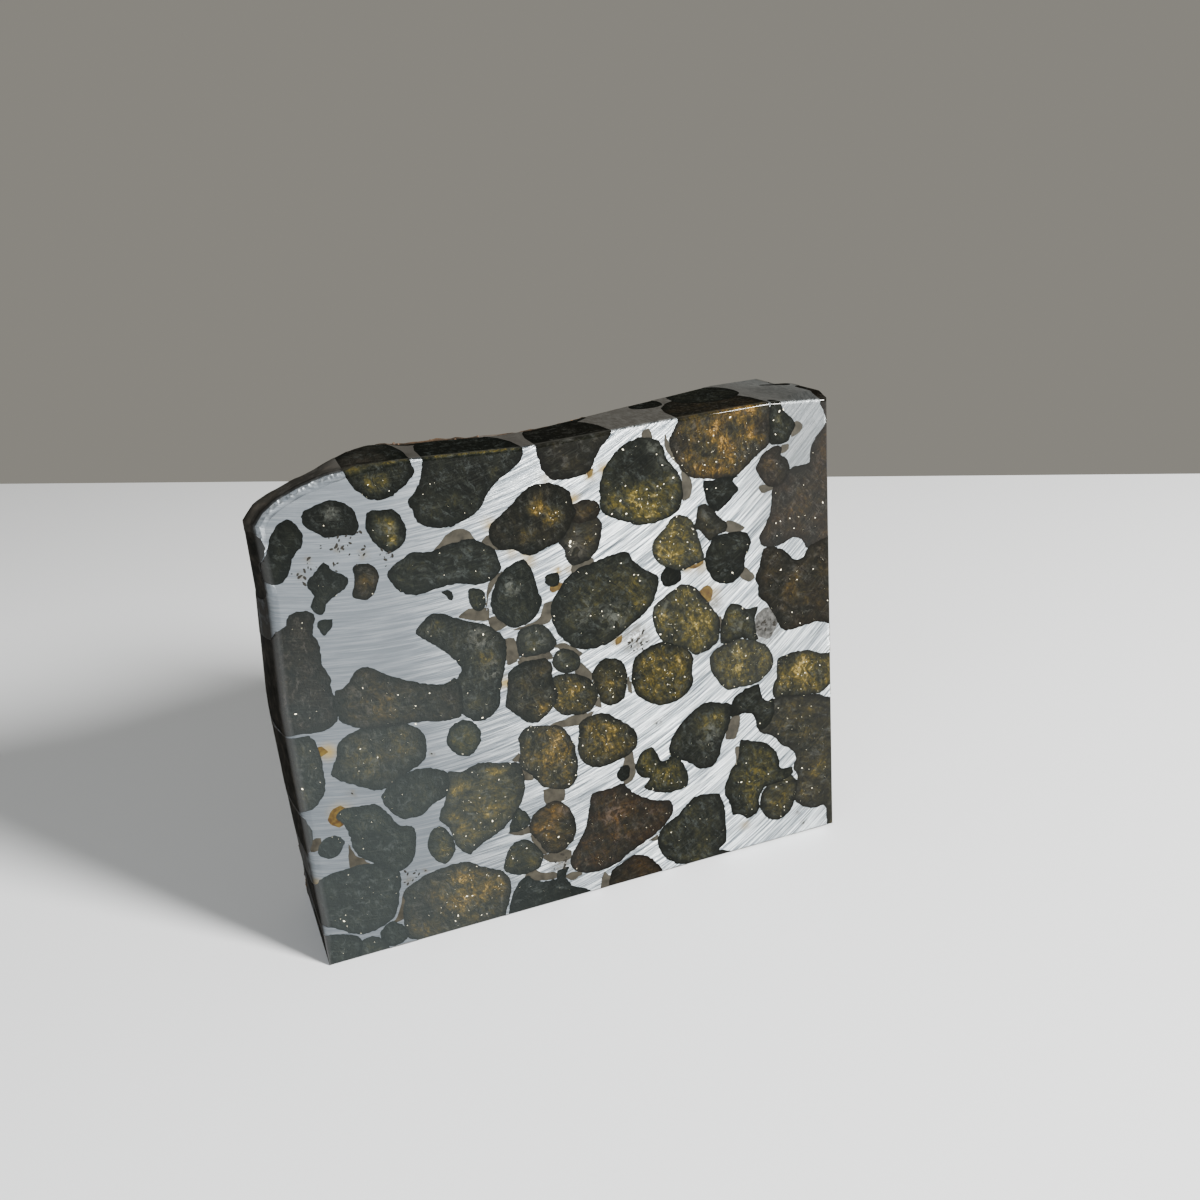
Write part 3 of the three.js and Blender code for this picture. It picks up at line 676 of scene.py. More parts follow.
def crystalBall(centre, others):
    # a crystal grown until it meets its neighbours, with rounded edges
    offsets = others - centre
    lengths = np.sqrt((offsets**2).sum(1))
    near = (lengths > 0) & (lengths < crystalForm["neighbourReach"])
    heights = np.maximum(lengths[near] / 2 - crystalForm["gap"], crystalForm["leastHalfGap"])
    power = crystalForm["pointing"]
    lean = np.maximum(ballShape[0] @ (offsets[near] / lengths[near, None]).T / heights, 0)
    radius = ((lean**power).sum(1) + crystalForm["largest"]**-power) ** (-1 / power)
    return centre + ballShape[0] * radius[:, None], ballShape[1]


def hiddenCrystals(bodyPoints):
    # crystals that show on the sawn sides and on the weathered back
    pitch, margin = crystalForm["edgePitch"], crystalForm["edgeMargin"]
    i, j = [grid.ravel() for grid in np.meshgrid(np.arange(-6, 6), np.arange(-1, 9))]
    x = (i + margin + (1 - 2 * margin) * chance(i, j, 7)) * pitch
    z = (j + margin + (1 - 2 * margin) * chance(i, j, 8)) * pitch
    thickness = crystalForm["layerSpread"]
    y = crystalForm["edgeLayer"] + thickness * chance(i, j, 9) - thickness / 2
    layer = np.stack([x, y, z], 1)
    top = between(stone["top"], x)
    edge = np.minimum(np.minimum(x + halfWidth, halfWidth - x), np.minimum(z, top - z))
    built = np.abs(edge) < crystalForm["edgeReach"]
    shapes = [crystalBall(centre, layer) for centre in layer[built]]
    x, z, height = backCell(i, j)
    backPart = bodyPoints[bodyPoints[:, 1] > crystalForm["backStart"]]
    deep = []
    for place in np.stack([x, z], 1):
        far = ((backPart[:, [0, 2]] - place) ** 2).sum(1) - backPart[:, 1] * crystalForm["backPull"]
        deep.append(backPart[np.argmin(far), 1] - crystalForm["backDrop"])
    layer = np.stack([x, np.array(deep), z], 1)
    fromSide, fromTop = crystalForm["backMargins"]
    inside = (np.abs(x) < halfWidth - fromSide) & (z > fromTop) & (z < between(stone["top"], x) - fromTop)
    shapes += [crystalBall(centre, layer) for centre in layer[inside & (height > 0)]]
    return shapes


def groupsOf(shapes):
    # shapes whose boxes keep clear of one another go into one group
    groups, clearance = [], crystalForm["clearance"]
    for index, (points, faces) in enumerate(shapes):
        low, high = points.min(0) - clearance, points.max(0) + clearance
        for group in groups:
            if all((low > b).any() or (high < a).any() for a, b in group["boxes"]):
                break
        else:
            group = {"boxes": [], "members": []}
            groups.append(group)
        group["boxes"].append((low, high))
        group["members"].append(index)
    return groups


def joined(name, shapes, members):
    points, faces, ids, start = [], [], [], 0
    for index in members:
        points.append(shapes[index][0])
        faces += [face + start for face in shapes[index][1]]
        ids += [index + 1] * len(shapes[index][1])
        start += len(shapes[index][0])
    mesh = meshFrom(name, np.concatenate(points), faces)
    setAttribute(mesh, "crystal", np.array(ids, np.int32), "INT", "FACE")
    return mesh


def readFaces(mesh):
    corners = np.zeros(len(mesh.loops), np.int32)
    mesh.loops.foreach_get("vertex_index", corners)
    starts = np.zeros(len(mesh.polygons), np.int32)
    mesh.polygons.foreach_get("loop_start", starts)
    return corners, starts


def islandsOf(mesh):
    # the lowest vertex number of each loose part, for every vertex
    ends = np.zeros(len(mesh.edges) * 2, np.int32)
    mesh.edges.foreach_get("vertices", ends)
    first, second = ends.reshape(-1, 2).T
    label = np.arange(len(mesh.vertices))
    while True:
        lowest = np.minimum(label[first], label[second])
        lower = label.copy()
        np.minimum.at(lower, first, lowest)
        np.minimum.at(lower, second, lowest)
        lower = lower[lower]
        if (lower == label).all():
            return label
        label = lower


def treeOf(samples):
    tree = KDTree(len(samples))
    for index, sample in enumerate(samples):
        tree.insert(sample, index)
    tree.balance()
    return tree


def crystalPart(mesh):
    # each vertex's crystal, and how far it is from the crystal's edge
    faceCrystal = readFaceAttribute(mesh, "crystal")
    corners, starts = readFaces(mesh)
    faceOfCorner = np.repeat(np.arange(len(starts)), np.diff(np.append(starts, len(corners))))
    island = islandsOf(mesh)
    highest = np.zeros(len(island), int)
    np.maximum.at(highest, island[corners], faceCrystal[faceOfCorner])
    outer = np.zeros(len(island), bool)
    inner = np.zeros(len(island), bool)
    outer[corners[faceCrystal[faceOfCorner] == 0]] = True
    inner[corners[faceCrystal[faceOfCorner] > 0]] = True
    points = readPoints(mesh)
    edge = np.zeros(len(points))
    wanted = outer & ~inner
    rimTree = treeOf(points[outer & inner])
    edge[wanted] = [rimTree.find(point)[2] for point in points[wanted]]
    return highest[island] - 1, edge


# Troilite: dull taupe films along some crystals
troilitePatches = [
    [(-11.2, 35.15), (-10.0, 36.2), (-9.45, 36.4), (-8.75, 36.2), (-8.3, 35.55)],
    [(-7.3, 35.1), (-6.75, 35.45), (-6.2, 34.3)],
    [(-7.2, 31.45), (-6.1, 32.1), (-7.3, 30.55), (-7.55, 29.45)],
    [(-9.9, 29.1), (-9.1, 29.55), (-7.65, 29.3), (-7.9, 28.5)],
    [(0.1, 31.1), (1.9, 31.6), (1.8, 31.95), (0.2, 31.6)],
    [(7.2, 41.5), (7.3, 42.0), (7.8, 42.15), (8.1, 41.4)],
    [(9.5, 41.0), (9.3, 40.3), (10.5, 38.2), (10.5, 36.0), (11.1, 36.1), (11.3, 37.2), (10.1, 39.3)],
    [(21.7, 40.8), (22.3, 40.4), (22.0, 39.9), (21.3, 39.6)],
    [(20.1, 38.3), (20.3, 38.9), (20.9, 38.95), (20.9, 38.5)],
    [(18.0, 35.6), (19.3, 35.6), (19.3, 35.2), (18.2, 35.1)],
    [(14.6, 32.2), (14.8, 33.0), (16.2, 32.2), (15.9, 31.95)],
    [(15.6, 28.1), (16.1, 28.5), (17.1, 27.4), (16.7, 27.1)],
    [(-5.3, 27.2), (-3.3, 27.6), (-2.8, 28.6), (-2.2, 28.7), (-2.4, 27.3), (-4.6, 27.0)],
    [(-7.5, 28.3), (-7.0, 28.5), (-6.2, 27.6), (-7.2, 27.4)],
    [(-6.3, 26.2), (-5.6, 26.1), (-5.5, 24.4), (-6.3, 24.2)],
    [(-5.3, 24.3), (-2.8, 24.4), (-2.6, 23.9), (-5.2, 23.9)],
    [(-2.3, 24.8), (-1.3, 24.9), (0.1, 23.7), (-0.2, 23.5), (-1.7, 24.5)],
    [(-0.4, 22.1), (0.1, 22.7), (1.0, 21.4), (0.9, 21.0)],
    [(1.1, 20.9), (1.6, 18.9), (1.6, 18.4), (1.2, 18.6)],
    [(-3.1, 17.6), (-0.8, 18.0), (0.6, 17.9), (-0.4, 17.15), (-2.0, 17.3)],
    [(-6.9, 15.2), (-6.3, 15.7), (-6.2, 14.9)],
    [(-6.1, 14.1), (-5.5, 13.7), (-5.2, 13.1), (-6.0, 13.1)],
    [(-4.2, 11.5), (-2.7, 11.3), (-2.7, 10.3), (-4.1, 10.2)],
    [(3.6, 12.8), (4.1, 13.1), (4.3, 11.2), (4.0, 10.5), (3.3, 10.4)],
    [(-24.6, 12.3), (-24.0, 12.3), (-24.2, 11.4), (-24.8, 11.3)],
    [(-21.7, 10.9), (-21.3, 9.9), (-20.4, 9.0), (-21.8, 9.0)],
    [(-17.9, 5.1), (-18.0, 3.0), (-19.7, 2.6), (-18.8, 3.0)],
    [(-7.9, 8.3), (-6.1, 8.4), (-6.1, 7.8), (-7.4, 8.0)],
    [(-5.9, 7.3), (-4.9, 5.4), (-4.7, 5.4), (-5.7, 7.5)],
    [(-4.9, 5.1), (-2.7, 5.0), (-2.6, 4.3), (-4.4, 4.4)],
    [(-6.7, 3.5), (-6.0, 3.9), (-5.4, 3.5), (-4.2, 3.1), (-4.2, 2.7), (-6.2, 3.0)],
    [(-3.1, 2.4), (-2.4, 2.7), (-1.6, 2.3), (-2.4, 1.9)],
    [(14.4, 14.2), (15.0, 14.2), (14.6, 12.2), (13.7, 12.3)],
    [(14.6, 11.0), (14.9, 11.0), (15.0, 10.0), (14.6, 9.7)],
    [(0.6, 1.7), (1.0, 1.2), (0.9, 0.1), (0.2, 0.1)],
    [(5.3, 3.8), (6.1, 4.1), (6.1, 3.6)],
    [(4.6, 19.9), (4.6, 19.0), (4.3, 19.2), (4.4, 20.5)],
    [(13.4, 24.3), (13.7, 24.3), (13.6, 23.2)],
]
# Rust stains with a clear outline
stainPatches = [
    [(11.9, 27.2), (12.5, 27.4), (12.9, 26.9), (12.7, 26.2), (12.1, 26.1), (11.7, 26.6)],
    [(10.9, 29.5), (11.6, 29.75), (12.2, 29.95), (12.1, 29.6), (11.4, 29.3)],
    [(2.1, 39.4), (2.6, 39.6), (2.5, 39.1), (2.2, 38.95)],
    [(-1.9, 30.2), (-1.2, 30.35), (-0.9, 30.1), (-1.3, 29.8), (-1.9, 29.7)],
    [(-22.7, 14.4), (-21.9, 14.7), (-21.5, 14.2), (-21.6, 13.5), (-22.3, 13.1), (-22.9, 13.6)],
    [(3.5, 24.3), (4.1, 24.5), (4.0, 24.0), (3.5, 23.8)],
    [(-23.4, 20.2), (-22.6, 20.4), (-22.3, 19.9), (-23.2, 19.6)],
]
# One patch of mottled grey stone
greyPatches = [
    [(17.2, 22.5), (17.5, 23.7), (18.3, 24.0), (19.1, 23.7), (19.4, 23.0), (19.1, 22.3), (18.5, 21.5),
    (17.7, 21.7)],
]
# Rust stains and dull patches on the metal: x, z, radius
rustSpots = [
    (12.8, 26.6, 0.9), (10.8, 29.5, 0.6), (12.0, 29.3, 0.6), (2.3, 39.2, 0.5), (3.5, 39.5, 0.5),
    (0.75, 37.4, 0.5), (3.6, 24.1, 0.5), (-6.8, 22.5, 0.5), (-22.2, 19.9, 0.7), (-22.0, 14.2, 0.9),
    (-24.9, 8.0, 0.6), (-6.7, 36.5, 0.5), (-5.0, 33.8, 0.5), (-3.8, 33.3, 0.5), (-3.5, 32.7, 0.5),
    (-1.2, 31.5, 0.4), (-1.6, 39.4, 0.4), (-0.1, 31.4, 0.4), (-10.0, 0.2, 0.6), (15.2, 2.6, 0.5),
]
dullSpots = [
    (5.5, 23.9, 1.4), (18.1, 22.4, 1.5), (-3.5, 4.0, 0.9), (13.3, 25.6, 0.6), (6.9, 15.4, 0.3),
    (-20.8, 15.7, 0.3), (-13.8, 17.6, 0.25), (-17.2, 6.3, 0.4), (-15.7, 6.8, 0.25), (21.6, 1.1, 0.3),
    (20.9, 2.5, 0.25), (-17.0, 35.8, 0.4), (-18.9, 36.6, 0.3), (-21.3, 36.2, 0.3), (-22.0, 35.0, 0.3),
]
# Parts of a crystal that are lighter or darker than the rest: x, z, radius, how lit
glowSpots = [
    (6.6, 39.6, 2.9, 0.03), (7.4, 35.7, 2.6, 0.8), (4.4, 36.4, 1.1, 0.5), (-1.2, 36.3, 1.1, 0.8),
    (-2.6, 37.2, 1.0, 0.5), (-3.6, 35.0, 1.0, 0.3), (1.75, 33.4, 0.6, 0.7), (14.8, 40.3, 3.2, 0.58),
    (18.6, 41.0, 1.1, 0.05), (10.6, 40.6, 1.2, 0.15), (-14.7, 37.9, 0.9, 0.6), (-14.5, 36.4, 0.7, 0.7),
    (-15.4, 41.3, 1.1, 0.8), (-9.3, 39.0, 0.8, 0.3), (-5.8, 40.5, 0.7, 0.4), (5.0, 29.2, 1.1, 0.35),
    (6.0, 27.2, 1.0, 0.4), (4.5, 25.8, 0.9, 0.35), (12.4, 14.0, 1.5, 0.4), (-21.8, 13.9, 0.9, 0.45),
    (-3.4, 18.9, 1.4, 0.7), (-12.3, 3.6, 3.0, 0.6), (-9.8, 3.6, 1.6, 0.5), (-16.6, 3.2, 1.6, 0.08),
    (-19.6, 18.2, 1.6, 0.35), (-16.2, 19.0, 1.2, 0.3), (-17.0, 22.3, 1.6, 0.28),
    (-8.6, 25.0, 1.3, 0.3), (-11.9, 28.6, 0.9, 0.3), (22.4, 17.6, 1.7, 0.8), (20.2, 17.0, 1.3, 0.6),
    (23.6, 6.6, 1.4, 0.5), (21.6, 11.3, 1.4, 0.35), (16.1, 7.2, 1.6, 0.4), (18.8, 4.6, 1.3, 0.45),
    (9.9, 25.2, 2.0, 0.6), (11.2, 23.2, 1.2, 0.8), (-1.2, 20.2, 1.6, 0.65), (2.9, 20.2, 1.2, 0.65),
    (-3.9, 7.6, 1.4, 0.5), (-3.7, 14.6, 1.8, 0.65), (1.9, 15.2, 1.9, 0.6), (7.7, 20.0, 2.2, 0.6),
    (15.8, 19.4, 2.2, 0.7), (-9.6, 12.4, 2.4, 0.5), (7.3, 9.7, 1.4, 0.6), (22.2, 33.4, 1.6, 0.22),
    (21.2, 25.6, 1.8, 0.24), (2.6, 6.4, 2.2, 0.25), (9.6, 4.0, 2.0, 0.12),
]
# Broken glassy parts that look grey: x, z, radius
paleSpots = [
    (9.7, 39.4, 1.1), (8.2, 40.7, 0.7), (9.9, 37.9, 0.6), (0.2, 33.0, 1.0), (-3.6, 26.2, 0.9),
    (-2.0, 24.0, 0.5), (3.6, 26.3, 1.2), (0.4, 27.5, 1.0), (-5.2, 31.0, 0.8), (7.9, 26.4, 0.9),
    (12.0, 13.0, 1.1), (15.6, 23.4, 0.8), (-8.6, 27.0, 1.0), (-7.6, 24.0, 0.9), (-19.0, 39.6, 0.6),
    (-14.9, 37.6, 0.6), (2.0, 7.6, 0.9), (-2.6, 9.2, 0.6),
]
# Where each mask starts and ends, in x, y or z, or in shares of a spot's radius
masks = {
    "glowSpot": (0.3, 1.1),
    "softSpot": (0.3, 1.6),
    "spotDepth": 0.6,
    "dimBehind": (0.35, 0.8),
    "dimming": 0.8,
    "caughtStart": (0.03, 0.12),
    "caughtEnd": (0.4, 0.55),
    "caughtLight": 0.5,
    "caughtAbove": 41,
    "caughtLeftOf": -3,
    "bevelStart": (0.01, 0.1),
    "bevelEnd": (0.6, 0.35),
    "dentsAcross": (-11, -15),
    "dentsUp": (33, 36),
    "reflectionAcross": (6, -20),
    "reflectionUp": (42, 18),
    "reflectionDepth": (0.5, 0.1),
    "worn": 0.2,
    "topUp": (0.7, 0.3),
    "topDepth": (0.25, 0.5),
    "shadeAcross": (25, 14),
}


def faded(name, value):
    return smoothStep(*masks[name], value)


def litGlow(points, glow):
    x, y, z = points.T
    for spotX, spotZ, radius, value in glowSpots:
        distance = np.hypot(x - spotX, z - spotZ)
        glow = glow + (value - glow) * (1 - faded("glowSpot", distance / radius))
    # painted shade: the sawn top and sides are darkened as they mirror the dark surroundings
    glow = glow * (1 - masks["dimming"] * faded("dimBehind", y))
    # painted highlight: light caught in the bevel over the dark crystals of the upper left
    caught = faded("caughtStart", y) * (1 - faded("caughtEnd", y))
    return glow + masks["caughtLight"] * caught * (z > masks["caughtAbove"]) * (x < masks["caughtLeftOf"])


def onBevel(points):
    return faded("bevelStart", points[:, 1]) * faded("bevelEnd", points[:, 1])


def dentedEdge(points):
    # the bevel of the upper left wasn't ground flat
    return onBevel(points) * faded("dentsAcross", points[:, 0]) * faded("dentsUp", points[:, 2])


def lowerLeft(points):
    # painted reflection: where the crystals are lightened towards the lower left
    x, y, z = points.T
    return faded("reflectionAcross", x) * faded("reflectionUp", z) * faded("reflectionDepth", y)


def spotMask(points, spots):
    mask = np.zeros(len(points))
    for x, z, radius in spots:
        distance = np.hypot(points[:, 0] - x, points[:, 2] - z)
        mask = np.maximum(mask, 1 - faded("softSpot", distance / radius))
    return mask * (points[:, 1] < masks["spotDepth"])


def edgeShade(points):
    # painted shade: the sawn bevels at the foot and on the right are darkened
    worn = (points[:, 2] < masks["worn"]) | (points[:, 0] > halfWidth - masks["worn"])
    return np.where(worn, 1.0, 0.0)


def sawnTop(points):
    # the sawn top isn't polished; its painted shade stands for the dark room it mirrors
    near = faded("topUp", between(stone["top"], points[:, 0]) - points[:, 2])
    return near * faded("topDepth", points[:, 1])


def movedBody(points, faces, inset):
    mesh = meshFrom("body", points, faces)
    normals = np.zeros(len(points) * 3, np.float32)
    mesh.vertex_normals.foreach_get("vector", normals)
    moved = points - normals.reshape(-1, 3) * np.asarray(inset).reshape(-1, 1)
    bpy.data.meshes.remove(mesh)
    mesh = meshFrom("body", moved, faces)
    setAttribute(mesh, "crystal", np.zeros(len(faces), np.int32), "INT", "FACE")
    return mesh


def finished(name, mesh, slotName):
    # metres, smooth with sharp edges, and the masks of what wasn't sawn
    points = readPoints(mesh)
    nearest = np.array([bodyTree.find(point)[1] for point in points])
    setAttribute(mesh, "natural", bodyNatural[nearest])
    setAttribute(mesh, "rough", bodyRough[nearest])
    mesh.vertices.foreach_set("co", placed(points).astype(np.float32).ravel())
    mesh.shade_smooth()
    mesh.set_sharp_from_angle(angle=math.radians(crystalForm["sharpAngle"]))
    mesh.materials.clear()
    mesh.polygons.foreach_set("material_index", np.zeros(len(mesh.polygons), np.int32))
    mesh.update()
    mesh.name = name
    piece = sceneObject(name, mesh)
    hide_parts("end_cut")
    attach(piece, "root")
    return piece


noise.seed_set(crystalForm["seed"])  # else the outlines' noise changes with the clock
ballShape = ballDirections()
bodyPoints, bodyFaces, bodyNatural, bodyRough = bodySurface()
bodyTree = treeOf(bodyPoints)
crust = np.array([noise.fractal(Vector(point) * crystalForm["crustGrain"], *crystalForm["crustFractal"])
                  for point in bodyPoints])
crustHeight = -bodyRough * crust * crystalForm["crustRelief"]
shapes, names = [], list(crystals)
for number, name in enumerate(names):
    outline = smoothLoop(crystals[name][2], crystalForm["outlineStep"], number)
    width = np.hypot(*(outline.max(0) - outline.min(0)))
    depth = width * crystalForm["depthShare"]
    depth = np.clip(depth, crystalForm["leastDepth"], crystalForm["mostDepth"])
    aside, below, above = crystalForm["edgeLimits"]
    x, z = outline.T
    overEdge = np.abs(x).max() > aside or z.min() < below or z.max() > above
    shapes.append(crystalLoft(outline, crystalForm["edgeDepth"] if overEdge else depth))
frontCount = len(shapes)
shapes += hiddenCrystals(bodyPoints)
print("crystals", frontCount, "in the face,", len(shapes) - frontCount, "in the sides and back")

parts, cutters = [], []
metal = movedBody(bodyPoints, bodyFaces, crustHeight)
for number, group in enumerate(groupsOf(shapes)):
    cutter = joined("crystalGroup", shapes, group["members"])
    cutters.append(cutter)
    inset = crystalForm["inset"] + crystalForm["insetStep"] * number
    body = movedBody(bodyPoints, bodyFaces, crustHeight + inset)
    part = cutOrMeet(body, cutter, "INTERSECT")
    crystal, edge = crystalPart(part)
    corners, starts = readFaces(part)
    parts.append((readPoints(part), corners, starts, crystal, edge))
    metal = cutOrMeet(metal, cutter, "DIFFERENCE")
print("crystal groups cut", len(parts), "metal faces", len(metal.polygons))

# One mesh of all the crystals
points, faces, start = [], [], 0
for partPoints, corners, starts, crystal, edge in parts:
    faces += [face + start for face in np.split(corners, starts[1:])]
    points.append(partPoints)
    start += len(partPoints)
crystalOf = np.concatenate([part[3] for part in parts])
olivineMesh = meshFrom("olivine", np.concatenate(points), faces)
dimmest, span = crystalForm["hiddenGlow"]
looks = np.array([crystals[name][:2] for name in names]
                 + [(dimmest + span * chance(k, 3, 5) ** 2, crystalForm["hiddenRed"] * chance(k, 5, 6))
                    for k in range(frontCount, len(shapes))])
points = readPoints(olivineMesh)
setAttribute(olivineMesh, "glow", litGlow(points, looks[crystalOf, 0]))
setAttribute(olivineMesh, "red", looks[crystalOf, 1])
setAttribute(olivineMesh, "lowerLeftReflection", lowerLeft(points))
setAttribute(olivineMesh, "bevel", onBevel(points))
setAttribute(olivineMesh, "pale", spotMask(points, paleSpots))
setAttribute(olivineMesh, "seed", chance(crystalOf, 2, 11))
setAttribute(olivineMesh, "edge", np.concatenate([part[4] for part in parts]))
olivine = finished("olivineCrystals", olivineMesh, "olivine")


# The patches let into the metal, how far below its polish, the salt of their noise, and the slot
inlayTables = {
    "troiliteFilms": (troilitePatches, 0.01, 90, "troilite"),
    "rustStains": (stainPatches, 0.008, 150, "pallasite"),
    "greyStone": (greyPatches, 0.012, 170, "troilite"),
}


def inlaid(name, patches, inset, salt, slotName):
    # thin plates, each a little larger than its outline
    films = []
    for number, patch in enumerate(patches):
        outline = smoothLoop(patch, crystalForm["filmStep"], salt + number)
        middle = outline.mean(0)
        wider = middle + (outline - middle) * crystalForm["filmReach"]
        films.append(crystalLoft(wider, crystalForm["filmDepth"]))
    cutter = joined("films", films, range(len(films)))
    mesh = cutOrMeet(movedBody(bodyPoints, bodyFaces, inset), cutter, "INTERSECT")
    for other in cutters:
        mesh = cutOrMeet(mesh, other, "DIFFERENCE")
    cutters.append(cutter)
    return finished(name, mesh, slotName), cutOrMeet(metal, cutter, "DIFFERENCE")


inlays = {}
for name, (patches, inset, salt, slotName) in inlayTables.items():
    inlays[name], metal = inlaid(name, patches, inset, salt, slotName)

metalPoints = readPoints(metal)
setAttribute(metal, "rust", spotMask(metalPoints, rustSpots))
setAttribute(metal, "topside", sawnTop(metalPoints))
setAttribute(metal, "dented", dentedEdge(metalPoints))
setAttribute(metal, "shade", sawnTop(metalPoints) * faded("shadeAcross", metalPoints[:, 0]))
# dull patches, and painted shade along the foot and right bevels
setAttribute(metal, "dullAndEdgeShade", np.maximum(spotMask(metalPoints, dullSpots), edgeShade(metalPoints)))
nickelIron = finished("nickelIronMetal", metal, "nickel_iron")
for piece in (olivine, *inlays.values(), nickelIron):
    print(piece.name, len(piece.data.polygons), "faces")


def makeNode(tree, kind, values=None, links=None, **settings):
    made = tree.nodes.new(kind)
    for name, value in settings.items():
        setattr(made, name, value)
    for name, value in (values or {}).items():
        made.inputs[name].default_value = value
    for name, source in (links or {}).items():
        tree.links.new(source, made.inputs[name])
    return made


def calculate(tree, operation, *operands, clamp=False):
    made = tree.nodes.new("ShaderNodeMath")
    made.operation = operation
    made.use_clamp = clamp
    for index, operand in enumerate(operands):
        if isinstance(operand, (int, float)):
            made.inputs[index].default_value = operand
        else:
            tree.links.new(operand, made.inputs[index])
    return made.outputs[0]


def times(tree, *operands):
    product = operands[0]
    for operand in operands[1:]:
        product = calculate(tree, "MULTIPLY", product, operand)
    return product


def mixColours(tree, share, first, second, blend="MIX"):
    made = makeNode(tree, "ShaderNodeMix", data_type="RGBA", blend_type=blend)
    for index, operand in ((0, share), (6, first), (7, second)):
        if hasattr(operand, "is_output"):
            tree.links.new(operand, made.inputs[index])
        else:
            made.inputs[index].default_value = operand
    return made.outputs[2]


def tinted(tree, share, colour, tint, blend):
    return mixColours(tree, share, colour, mixColours(tree, 1.0, colour, tint, blend))


def newMaterial(name, constants):
    material = bpy.data.materials.new(name)
    material.use_nodes = True
    shader = material.node_tree.nodes["Principled BSDF"]
    setSockets(shader, constants)
    return material, material.node_tree, shader


def attributeOf(tree, name):
    return makeNode(tree, "ShaderNodeAttribute", attribute_name=name).outputs["Fac"]


def stretched(tree, place, scale):
    return makeNode(tree, "ShaderNodeMapping", {"Scale": scale}, {"Vector": place}).outputs[0]


def placeOf(tree):
    # the place on the piece in millimetres
    coordinates = makeNode(tree, "ShaderNodeTexCoord")
    return stretched(tree, coordinates.outputs["Object"], (1000, 1000, 1000))


def noiseOf(tree, place, scale, detail=3.0, roughness=0.55):
    return makeNode(tree, "ShaderNodeTexNoise", {"Scale": scale, "Detail": detail, "Roughness": roughness},
                    {"Vector": place}).outputs["Fac"]


def spread(tree, value, low, high, toLow=0.0, toHigh=1.0):
    return makeNode(tree, "ShaderNodeMapRange",
                    {"From Min": low, "From Max": high, "To Min": toLow, "To Max": toHigh},
                    {"Value": value}).outputs[0]


def rampOf(tree, value, stops):
    ramp = makeNode(tree, "ShaderNodeValToRGB", links={"Fac": value})
    elements = ramp.color_ramp.elements
    while len(elements) < len(stops):
        elements.new(0.5)
    for element, (place, colour) in zip(elements, stops):
        element.position = place
        element.color = (*colour, 1)
    return ramp.outputs[0]


def addVectors(tree, first, second):
    return makeNode(tree, "ShaderNodeVectorMath", links={0: first, 1: second}, operation="ADD").outputs[0]


sawSwing = (-25.0, 25.0, 0.0, 0.52)  # from x and x to angle and angle


def turnedBy(tree, place, angle):
    return makeNode(tree, "ShaderNodeVectorRotate", {"Axis": (0, 1, 0)}, {"Vector": place, "Angle": angle},
                    rotation_type="AXIS_ANGLE").outputs[0]


def sawTurned(tree, place, across):
    # the saw swung a little, so its lines lie flatter on the left
    return turnedBy(tree, place, spread(tree, across, *sawSwing))


def cellsOf(tree, place, scale):
    # one chance value for each broken chip
    cells = makeNode(tree, "ShaderNodeTexVoronoi", {"Scale": scale}, {"Vector": place}).outputs["Color"]
    return makeNode(tree, "ShaderNodeSeparateColor", links={"Color": cells}).outputs[0]


def bumpOf(tree, height, strength, distance):
    return makeNode(tree, "ShaderNodeBump", {"Strength": strength, "Distance": distance},
                    {"Height": height}).outputs[0]


# The crust on what wasn't sawn
crustLook = {
    "tone": (0.8, 6.0, 0.65),
    "lumpyBack": [(0.0, (0.010, 0.009, 0.008)), (0.45, (0.028, 0.021, 0.016)),
                  (0.7, (0.065, 0.04, 0.024)), (1.0, (0.13, 0.08, 0.043))],
    "smoothSide": [(0.3, (0.005, 0.005, 0.0045)), (0.55, (0.013, 0.012, 0.010)),
                   (0.8, (0.036, 0.030, 0.024))],
}


def crustOn(tree, colour, place, cover):
    # dark and smooth on the left side, rusty brown on the lumpy back
    tone = noiseOf(tree, place, *crustLook["tone"])
    share = times(tree, attributeOf(tree, "natural"), spread(tree, tone, *cover))
    crust = mixColours(tree, attributeOf(tree, "rough"), rampOf(tree, tone, crustLook["smoothSide"]),
                       rampOf(tree, tone, crustLook["lumpyBack"]))
    return mixColours(tree, share, colour, crust), share


